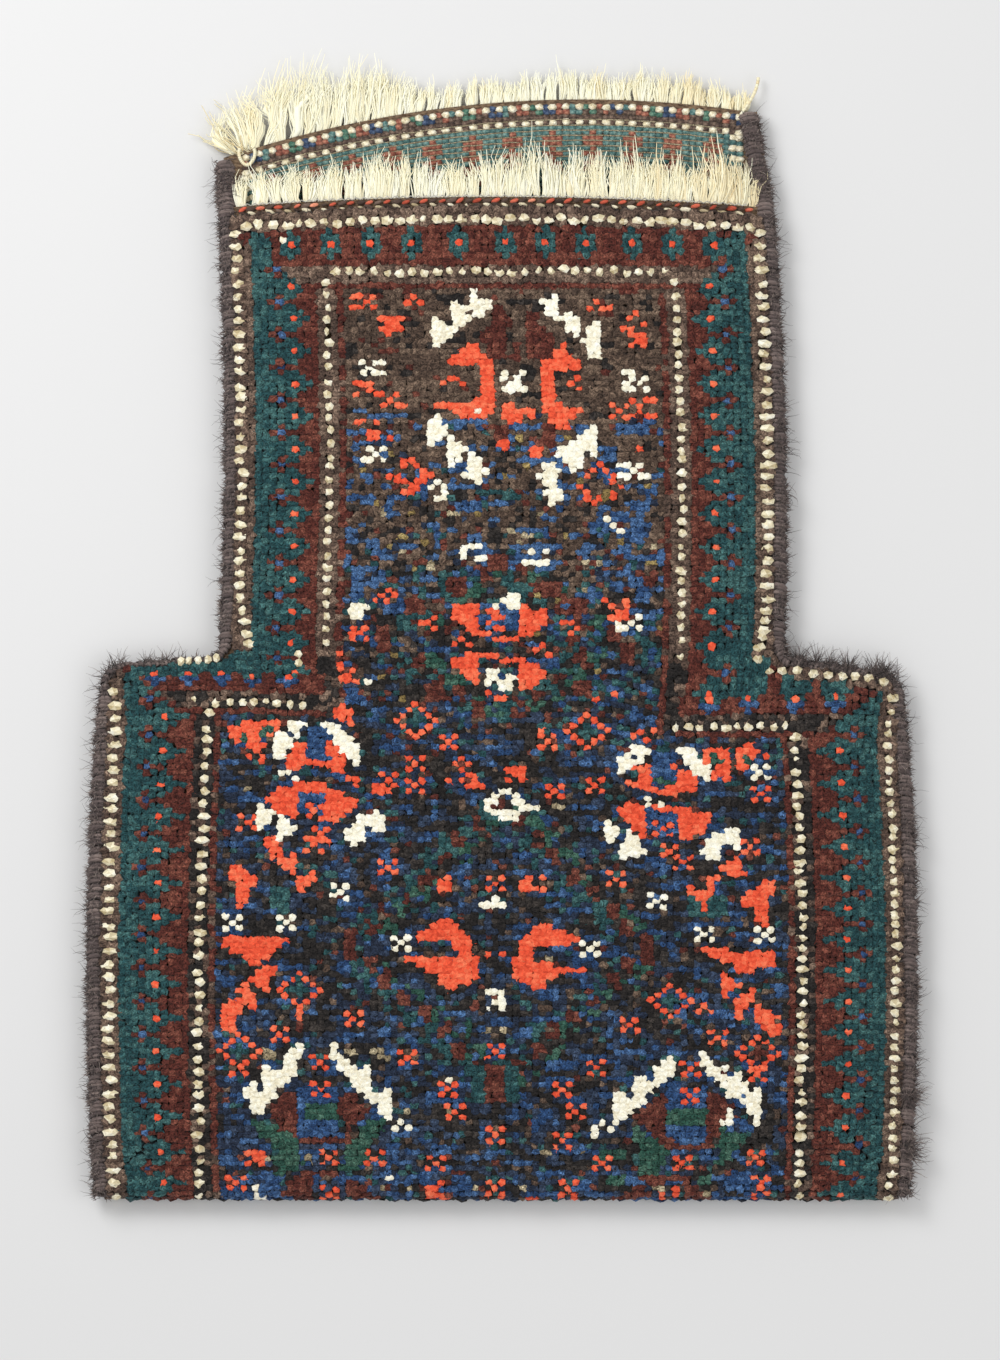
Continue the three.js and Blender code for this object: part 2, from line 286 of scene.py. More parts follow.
# From a colour as a screen shows it to the linear one that the renderer takes
def daylight(rgb):
    share = np.array(rgb) / 255
    linear = np.where(share <= 0.04045, share / 12.92, ((share + 0.055) / 1.055) ** 2.4)
    return (*[float(part) for part in linear], 1.0)


def setInputs(node, values):
    for name, value in values.items():
        node.inputs[name].default_value = value


def newMaterial(name, finish):
    material = bpy.data.materials.new(name)
    material.use_nodes = True
    setInputs(material.node_tree.nodes["Principled BSDF"], finish)
    return material, material.node_tree.nodes, material.node_tree.links


def setShades(ramp, shades, low=0, high=1):
    stops = ramp.color_ramp.elements
    while len(stops) < len(shades):
        stops.new(0.5)
    for number, shade in enumerate(shades):
        stops[number].position = low + (high - low) * number / (len(shades) - 1)
        stops[number].color = daylight(shade)


# A wool's tone runs along u and its length along v, so every strand carries its own shade; its colour is
# darkened towards the root as painted shade, the shade that falls between tufts and strands
def dyedWool(name, shades, streak, rootPaintedShade, grain=(190, 7, 1)):
    material, nodes, links = newMaterial(name, woolFinish)
    uvMap = nodes.new("ShaderNodeUVMap")
    uvMap.uv_map = "OFBake"
    parts = nodes.new("ShaderNodeSeparateXYZ")
    ramp = nodes.new("ShaderNodeValToRGB")
    setShades(ramp, shades)
    stretch = nodes.new("ShaderNodeMapping")
    setInputs(stretch, {"Scale": grain})
    fibre = nodes.new("ShaderNodeTexNoise")
    setInputs(fibre, {"Scale": 1, "Detail": 2})
    strength = nodes.new("ShaderNodeMapRange")
    setInputs(strength, {"From Min": 0.3, "From Max": 0.7, "To Min": 1 - streak, "To Max": 1 + streak})
    # Painted shade: the colour is scaled from full at v of 0.8 down to the root's painted shade at v of 0
    height = nodes.new("ShaderNodeMapRange")
    setInputs(height, {"From Max": 0.8, "To Min": rootPaintedShade})
    both = nodes.new("ShaderNodeMath")
    both.operation = "MULTIPLY"
    shaded = nodes.new("ShaderNodeVectorMath")
    shaded.operation = "SCALE"
    links.new(uvMap.outputs["UV"], parts.inputs["Vector"])
    links.new(uvMap.outputs["UV"], stretch.inputs["Vector"])
    links.new(parts.outputs["X"], ramp.inputs["Fac"])
    links.new(parts.outputs["Y"], height.inputs["Value"])
    links.new(stretch.outputs["Vector"], fibre.inputs["Vector"])
    links.new(fibre.outputs["Fac"], strength.inputs["Value"])
    links.new(strength.outputs["Result"], both.inputs[0])
    links.new(height.outputs["Result"], both.inputs[1])
    links.new(ramp.outputs["Color"], shaded.inputs[0])
    links.new(both.outputs["Value"], shaded.inputs["Scale"])
    links.new(shaded.outputs["Vector"], nodes["Principled BSDF"].inputs["Base Color"])
    return material


# A tuft's proportions, for a top that is one unit from middle to edge, and how much tufts differ
tuft = {
    "foot": 0.8,
    "fibreRadius": 0.2,
    "fibreLength": 0.3,
    "fibreRing": 0.6,
    "fibreTurn": 0.3,
    "splay": 1.7,
    # Painted shade: the v that each part of a tuft takes, so its foot and edge darken with the wool's painted
    # root shade, as in the creases between tufts
    "shade": {"foot": 0.03, "edge": 0.5, "crown": 0.9, "tip": 0.97},
    "facetTone": 0.26,
    "sway": {"foot": 0.05, "edge": 0.14, "tip": 0.35},
    "lift": 0.05,
    "sizeSpread": 0.06,
    "wear": 0.05,
    "wearSpread": 0.045,
    "tallRange": (0.8, 1.02),
    "leanSpread": 0.3 * mm,
    "leanFrom": 0.9,
}


# Prototype shapes: a tuft, a strand, a yarn loop and a twined stitch, each of unit size
def takeShape(bm):
    bm.verts.ensure_lookup_table()
    bm.verts.index_update()
    points = np.array([vert.co[:] for vert in bm.verts])
    corners = np.concatenate([[vert.index for vert in face.verts] for face in bm.faces])
    counts = np.array([len(face.verts) for face in bm.faces])
    bm.free()
    return {"points": points, "corners": corners, "counts": counts}


def tuftShape(sides, fibres, shoulder=0.82, dome=0.22):
    bm = bmesh.new()
    bmesh.ops.create_cone(bm, cap_ends=True, segments=sides, radius1=tuft["foot"], radius2=1, depth=shoulder)
    bmesh.ops.translate(bm, verts=bm.verts, vec=(0, 0, shoulder / 2))
    top = [face for face in bm.faces if face.calc_center_median().z > shoulder - 0.01]
    bmesh.ops.poke(bm, faces=top, offset=dome)
    for number in range(fibres):
        angle = 2 * math.pi * (number + tuft["fibreTurn"]) / fibres
        fibre = bmesh.ops.create_cone(
            bm, cap_ends=True, segments=3,
            radius1=tuft["fibreRadius"], radius2=0, depth=tuft["fibreLength"])
        place = (tuft["fibreRing"] * math.cos(angle), tuft["fibreRing"] * math.sin(angle), shoulder)
        bmesh.ops.translate(bm, verts=fibre["verts"], vec=place)
    bmesh.ops.remove_doubles(bm, verts=bm.verts, dist=1e-5)
    shape = takeShape(bm)
    x, y, z = shape["points"].T
    crown = (np.hypot(x, y) < 0.05) & (z > shoulder)
    tips = (z > shoulder + 0.1) & ~crown
    upper = z > 0.4
    # Painted shade: foot and edge take a low v and come out darker, crown and tips a high v and stay light
    shade = tuft["shade"]
    rise = np.where(tips, shade["tip"], np.where(crown, shade["crown"], shade["edge"]))
    rise = np.where(z < 0.01, shade["foot"] + 0.02 * y, rise)
    spread = np.stack([(x + 0.5 * y + 0.15 * tips) * 0.01, np.clip(rise + 0.02 * y, 0, 1)], 1)
    facet = np.repeat(np.arange(len(shape["counts"])), shape["counts"])
    shape["uv"] = spread[shape["corners"]]
    shape["uv"][:, 0] += tuft["facetTone"] * np.sin(facet * 2.4)  # each facet has a tone of its own
    sway = tuft["sway"]
    shape["sway"] = np.where(tips, sway["tip"], np.where(upper, sway["edge"], sway["foot"]))
    shape["lift"] = np.where(upper, tuft["lift"], 0)
    shape["points"][tips, :2] *= tuft["splay"]
    return shape


def strandShape(sides, cuts, tip):
    bm = bmesh.new()
    bmesh.ops.create_cone(bm, cap_ends=True, segments=sides, radius1=1, radius2=tip, depth=1)
    bmesh.ops.translate(bm, verts=bm.verts, vec=(0, 0, 0.5))
    for cut in range(1, cuts + 1):
        bmesh.ops.bisect_plane(
            bm, geom=bm.verts[:] + bm.edges[:] + bm.faces[:],
            plane_co=(0, 0, cut / (cuts + 1)), plane_no=(0, 0, 1))
    shape = takeShape(bm)
    points = shape["points"]
    turn = np.arctan2(points[:, 1], points[:, 0])
    # Painted shade: v runs from root to tip, so the wool's painted root shade darkens each strand towards its
    # root
    rise = 0.02 + 0.96 * points[:, 2] + 0.015 * np.sin(turn)
    shape["uv"] = np.stack([0.01 * np.cos(turn + 0.4), rise], 1)[shape["corners"]]
    return shape


def loopShape(steps, sides, thickness):
    bm = bmesh.new()
    ring = bmesh.ops.create_circle(bm, segments=sides, radius=thickness)
    bmesh.ops.translate(bm, verts=ring["verts"], vec=(1, 0, 0))
    upright = Matrix.Rotation(math.pi / 2, 3, "X")
    bmesh.ops.rotate(bm, verts=ring["verts"], cent=(1, 0, 0), matrix=upright)
    bmesh.ops.spin(
        bm, geom=bm.verts[:] + bm.edges[:], axis=(0, 0, 1), cent=(0, 0, 0),
        angle=2 * math.pi, steps=steps, use_merge=True)
    bmesh.ops.remove_doubles(bm, verts=bm.verts, dist=1e-4)
    bmesh.ops.recalc_face_normals(bm, faces=bm.faces)
    shape = takeShape(bm)
    points = shape["points"]
    turn = np.arctan2(points[:, 1], points[:, 0])
    reach = np.hypot(points[:, 0], points[:, 1]) - 1
    spread = 0.012 * (points[:, 2] + 0.6 * reach) / thickness
    # Painted shade: v follows y round the loop, which becomes height on the wraps, so the wool's painted root
    # shade darkens each wrap's underside
    shape["uv"] = np.stack([spread, 0.5 + 0.4 * np.sin(turn)], 1)[shape["corners"]]
    return shape


def stitchShape():
    bm = bmesh.new()
    bmesh.ops.create_uvsphere(bm, u_segments=8, v_segments=5, radius=1)
    shape = takeShape(bm)
    points = shape["points"]
    spread = 0.012 * (points[:, 0] + 0.6 * points[:, 1])
    # Painted shade: v rises with z, so the wool's painted root shade darkens each stitch's underside
    shape["uv"] = np.stack([spread, 0.5 + 0.4 * points[:, 2]], 1)[shape["corners"]]
    return shape


def addObject(name, data):
    made = bpy.data.objects.new(name, data)
    scene.collection.objects.link(made)
    return made


# One piece made of many copies of a prototype, each copy with its own tone
def piece(name, shape, points, tones, material, smooth=True):
    copies = len(points)
    perCopy = len(shape["points"])
    corners = shape["corners"][None, :] + perCopy * np.arange(copies)[:, None]
    counts = np.tile(shape["counts"], copies)
    starts = np.concatenate([[0], np.cumsum(counts)[:-1]])
    uv = shape["uv"][None, :, :].repeat(copies, 0)
    low = shape["uv"][:, 0].min()
    high = shape["uv"][:, 0].max()
    uv[:, :, 0] += np.clip(tones, 0.02 - low, 0.98 - high)[:, None]  # stays on the map
    mesh = bpy.data.meshes.new(name)
    mesh.vertices.add(copies * perCopy)
    mesh.vertices.foreach_set("co", points.astype(np.float32).ravel())
    mesh.loops.add(corners.size)
    mesh.loops.foreach_set("vertex_index", corners.astype(np.int32).ravel())
    mesh.polygons.add(len(counts))
    mesh.polygons.foreach_set("loop_start", starts.astype(np.int32))
    mesh.update(calc_edges=True)
    mesh.uv_layers.new(name="OFBake")
    mesh.uv_layers["OFBake"].data.foreach_set("uv", uv.astype(np.float32).ravel())
    mesh.polygons.foreach_set("use_smooth", np.full(len(counts), smooth))
    mesh.materials.append(material)
    made = addObject(name, mesh)
    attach(made, body)
    return made


def mixed(count, spread):
    return rng.normal(0, spread, count)


def keepAbove(points, level):
    points[:, :, 2] = np.maximum(points[:, :, 2], level)


# Tufts set upright in their frames, leaning towards the fold, no two quite alike
def growTufts(shape, frames, size, lean, scatter=1.0, stretch=1.0):
    base, across, along, out = frames
    count = len(base)
    proto = shape["points"][None, :, :]
    wobble = rng.normal(0, scatter, (count, proto.shape[1], 3))
    wobble *= np.stack([shape["sway"], shape["sway"], shape["lift"]], 1)[None, :, :]
    turn = rng.uniform(0, 2 * math.pi, count)[:, None]
    px = proto[:, :, 0] * np.cos(turn) - proto[:, :, 1] * np.sin(turn) + wobble[:, :, 0]
    py = proto[:, :, 0] * np.sin(turn) + proto[:, :, 1] * np.cos(turn) + wobble[:, :, 1]
    pz = proto[:, :, 2] + wobble[:, :, 2]
    wide = np.reshape(size[0], (-1, 1)) * (1 + mixed(count, tuft["sizeSpread"] * scatter))[:, None]
    deep = np.reshape(size[1], (-1, 1)) * (1 + mixed(count, tuft["sizeSpread"] * scatter))[:, None]
    worn = 1 - tuft["wear"] + mixed(count, tuft["wearSpread"] * scatter)
    tall = size[2] * np.clip(worn, *tuft["tallRange"])[:, None]
    leanX = mixed(count, tuft["leanSpread"] * scatter)[:, None]
    leanY = (lean + mixed(count, tuft["leanSpread"] * scatter))[:, None]
    sideways = px * wide * np.reshape(stretch, (-1, 1)) + pz ** 2 * leanX
    lengthways = py * deep + (tuft["leanFrom"] - pz ** 2) * leanY
    return (
        base[:, None, :]
        + across[:, None, :] * sideways[:, :, None]
        + along[:, None, :] * lengthways[:, :, None]
        + out[:, None, :] * (pz * tall)[:, :, None]
    )


# Strands that bow and wave on their way from root to tip
nearlyUp = np.array([0.05, 0.03, 1.0])
strandWave = 9.4


def growStrands(shape, root, reach, bow, thick, flat=1, curl=0):
    proto = shape["points"][None, :, :]
    run = proto[:, :, 2][:, :, None]
    way = unit(reach)
    side = unit(np.cross(way, nearlyUp))
    up = np.cross(side, way)
    middle = root[:, None, :] + reach[:, None, :] * run + bow[:, None, :] * 4 * run * (1 - run)
    wave = np.sin(strandWave * run) * run
    middle = middle + side[:, None, :] * wave * np.reshape(curl, (-1, 1, 1))
    girth = side[:, None, :] * proto[:, :, :1] + up[:, None, :] * proto[:, :, 1:2] * flat
    return middle + thick[:, None, None] * girth


# The pattern, knot by knot: column 0 is the middle and row 0 the fold
columns = np.arange(-weave["half"], weave["half"] + 1)


# A knot is given as (c, r), a bar as (c0, c1, r) and a block as (c0, c1, r0, r1)
def setKnots(plan, dye, *spot):
    c0 = spot[0]
    r1 = spot[-1]
    c1 = spot[1] if len(spot) > 2 else c0
    r0 = spot[2] if len(spot) > 2 else r1
    plan[r0:r1 + 1, c0 + weave["half"]:c1 + weave["half"] + 1] = dyeIndex[dye]


# Bars one below the other from the top row down, by their left and right ends; a straight edge is one number
def setSteps(plan, dye, topRow, lefts, rights):
    for number, (c0, c1) in enumerate(zip(*np.broadcast_arrays(lefts, rights))):
        setKnots(plan, dye, c0, c1, topRow - number)


def setSaltire(plan, dye, c, r):
    for dc, dr in ((0, 0), (-1, -1), (-1, 1), (1, -1), (1, 1)):
        setKnots(plan, dye, c + dc, r + dr)


def setRing(plan, dye, heart, c, r, radius=3):
    for dc in range(-radius, radius + 1):
        for dr in range(-radius, radius + 1):
            away = abs(dc) + abs(dr)
            if away == radius:
                setKnots(plan, dye, c + dc, r + dr)
            elif away <= 1:
                setKnots(plan, heart, c + dc, r + dr)


# Borders, in knots: k counts in from a side, j up from the foot of the top or shoulder border
border = {
    "guard": 3,
    "repeat": 6,
    "neckLast": 8,
    "bodyLast": 9,
    "bodyPhase": {-1: 3, 1: 1},
    "topDepth": 10,
    "throughTop": (3, 5),
    "sideWide": 16,
    "shoulderFoot": 90,
    "shoulderIn": 26,
    "shoulderLow": -2,
    "shoulderMitre": 9,
    "neckFoot": 100,
    "neckLine": (24, 27),
    "neckCorner": (36, 40),
    "topFlowers": (-31, -25, -19, -13, -6, 1, 7, 13, 20, 26, 32),
    "shoulderFlowers": {-1: (-52, -47, -42, -37, -32), 1: (31, 37, 44, 50)},
    "darkGuard": 0.7,
    "darkShoulder": 0.6,
    "rustLine": 0.8,
}


# Flowers of the side borders, u knots in from the guard and v rows up from the flower's heart
def flowerDye(u, v, last):
    if v == 0:
        return "red" if u == 5 else "teal" if u <= last - 1 else "rust"
    if v in (1, 5):
        return "teal" if u <= 6 else "rust"
    if v in (2, 4):
        return "teal" if u in (0, 1, 2, 4, 5) else "rust"
    return "teal" if u <= 1 else "blue" if u == 3 else "rust"


# Outer guard, flowers, inner guard and a line of rust
def sideLayer(k, r, phase, last):
    u = k - border["guard"]
    if u < 0:
        return "guard"
    if u <= last:
        return flowerDye(u, (r - phase) % border["repeat"], last)
    if u <= last + border["guard"]:
        return "dark" if r < border["neckFoot"] and rng.random() < border["darkGuard"] else "guard"
    if u == last + border["guard"] + 1:
        return "rust" if rng.random() < border["rustLine"] else "guard"
    return None


def topLayer(j, c):
    d = min(abs(c - at) for at in border["topFlowers"])
    if j >= border["topDepth"] or j in (1, 2, 3):
        return "guard"
    if j in (9, 5):
        return "teal" if d == 0 else "rust"
    if j in (8, 6):
        return "teal" if d <= 1 else "rust"
    if j == 7:
        return "red" if d == 0 else "teal" if d == 1 else "rust"
    return "rust"


def shoulderLayer(j, c):
    d = min(abs(c - at) for at in border["shoulderFlowers"][-1 if c < 0 else 1])
    if c > 0 and j > 1:
        j = max(j + 1, 3)
    if j in (-1, 0, 1):
        return "dark" if rng.random() < border["darkShoulder"] else "guard"
    start, end = border["neckCorner"]
    if j >= 6 and abs(c) < end:
        return "teal" if abs(c) > start else neckSide(c, j + border["shoulderFoot"])
    if j >= 6:
        return "teal" if d <= 2 else "rust"
    if j == 5:
        return "red" if d == 0 else "teal" if d == 1 else "rust"
    if j == 4:
        return "blue" if d <= 1 else "rust"
    if j == 3:
        return "blue" if d == 0 else "rust"
    return "rust"


def neckSide(c, r):
    return sideLayer(weave["neckColumns"] // 2 - abs(c), r, 0, border["neckLast"])


def neckDye(c, r, topRow):
    k = weave["neckColumns"] // 2 - abs(c)
    depth = border["topDepth"]
    j = r - topRow + depth
    if k < 0:
        return None
    low, high = border["throughTop"]
    if depth - j <= min(k, depth) and not (low <= k <= high and j < depth):
        return topLayer(j, c)
    return neckSide(c, r)


def bodyDye(c, r):
    k = weave["bodyColumns"] // 2 - abs(c)
    j = r - border["shoulderFoot"]
    if k < 0:
        return None
    if abs(c) > border["shoulderIn"] and j >= border["shoulderLow"] and border["shoulderMitre"] - j <= k:
        return shoulderLayer(j, c)
    if k <= border["sideWide"] and j < border["sideWide"] - k:
        return sideLayer(k, r, border["bodyPhase"][-1 if c < 0 else 1], border["bodyLast"])
    start, end = border["neckLine"]
    if j > border["shoulderLow"] and start <= abs(c) <= end:
        return neckSide(c, r)
    return None


def bordersOf(plan, topRow):
    for r in range(plan.shape[0]):
        for c in columns:
            dye = neckDye(c, r, topRow) if r > border["neckFoot"] else bodyDye(c, r)
            if dye:
                setKnots(plan, dye, c, r)


# Lines of pale dots on the guards, from one knot to another, with the count of dots and their width
dotSpread = {"column": 0.12, "row": 0.18, "wide": 0.12}


def dotPlaces(topRow):
    lines = (
        (-36.9, 102.6, -38.4, 111, 5, 1.4),
        (-38.6, 113.2, -38.8, topRow - 1, 29, 1.35),
        (-26, 103, -26, topRow - 10, 30, 0.95),
        (26.2, 101, 26, topRow - 10, 32, 0.95),
        (37.3, 100.6, 38.3, 107, 5, 1.5),
        (38.4, 108.8, 38.8, topRow - 1, 32, 1.6),
        (-58.2, 1, -58.2, 92, 40, 1.6),
        (-45.4, 1, -44.4, 88, 39, 1.2),
        (44.5, 1, 44.5, 88, 42, 1.15),
        (58.3, 1, 58.3, 97, 46, 1.1),
        (-37, topRow, 37.5, topRow, 41, 1.25),
        (-24.5, topRow - 8, 24.5, topRow - 8, 27, 0.95),
        (-43, 90, -30, 90, 8, 1),
        (26.5, 90, 43, 90, 10, 1),
    )
    found = []
    for c0, r0, c1, r1, count, wide in lines:
        share = np.linspace(0, 1, count)
        column = c0 + (c1 - c0) * share + mixed(count, dotSpread["column"])
        row = r0 + (r1 - r0) * share + mixed(count, dotSpread["row"])
        found.append(np.stack([column, row, wide * (1 + mixed(count, dotSpread["wide"]))], 1))
    return np.concatenate(found)


# Mottled field: the share of each wool at a few heights, scattered in small flecks
fieldWools = ("dark", "brown", "rust", "olive", "teal", "navy", "blue")
fieldShares = {
    0: (22, 4, 5, 0, 6, 26, 37),
    12: (34, 4, 2, 0, 5, 33, 22),
    40: (40, 4, 2, 0, 6, 34, 14),
    80: (38, 4, 4, 0, 8, 32, 14),
    95: (36, 6, 9, 1, 13, 21, 14),
    112: (22, 22, 9, 2, 10, 12, 23),
    125: (12, 40, 4, 2, 3, 5, 34),
    140: (10, 60, 4, 1, 1, 4, 20),
    146: (15, 81, 4, 0, 0, 0, 0),
    206: (15, 81, 4, 0, 0, 0, 0),
}
fleckPull = ((1, 1, 0.85), (2, 1, 0.35), (1, 0, 0.2))  # shift, axis and weight of a knot's neighbours


def mottledField(rows):
    wide = 2 * weave["half"] + 1
    grain = rng.random((rows, wide))
    clumped = grain.copy()
    for shift, axis, weight in fleckPull:
        clumped += weight * np.roll(grain, shift, axis)
    rank = clumped.ravel().argsort().argsort().reshape(rows, wide) / (rows * wide)
    heights = list(fieldShares)
    table = np.array([
        np.interp(np.arange(rows), heights, shares) for shares in zip(*fieldShares.values())
    ])
    limits = np.cumsum(table / table.sum(0), 0)
    number = (rank[None, :, :] > limits[:, :, None]).sum(0)
    wools = np.array([dyeIndex[name] for name in fieldWools])
    return wools[np.minimum(number, len(fieldWools) - 1)]


# Lozenges: short bars of rust among loose patches of teal and green, stepped along each side
lozenges = {
    "places": ((47, 22, 0.85), (103, 15, 0.95)),
    "pitch": 3.2,
    "patches": (
        ("teal", -3, -2, 3, 4, 0.55),
        ("green", 1, -1, 3, 3, 0.4),
        ("rust", -1, -1, 2, 3, 0.75),
    ),
}


def setPatch(plan, dye, c, r, wide, high, share):
    for dr in range(high):
        for dc in range(wide):
            if rng.random() < share:
                setKnots(plan, dye, c + dc, r + dr)


def setLozenge(plan, middle, reach, slope):
    for step in range(1, int(reach / slope / lozenges["pitch"]) + 1):
        away = lozenges["pitch"] * step
        for way in (-1, 1):
            for side in (-1, 1):
                c = int(round(side * (reach - slope * away)))
                r = int(middle + way * away)
                for dye, dc, dr, *patch in lozenges["patches"]:
                    setPatch(plan, dye, c + dc, r + dr, *patch)


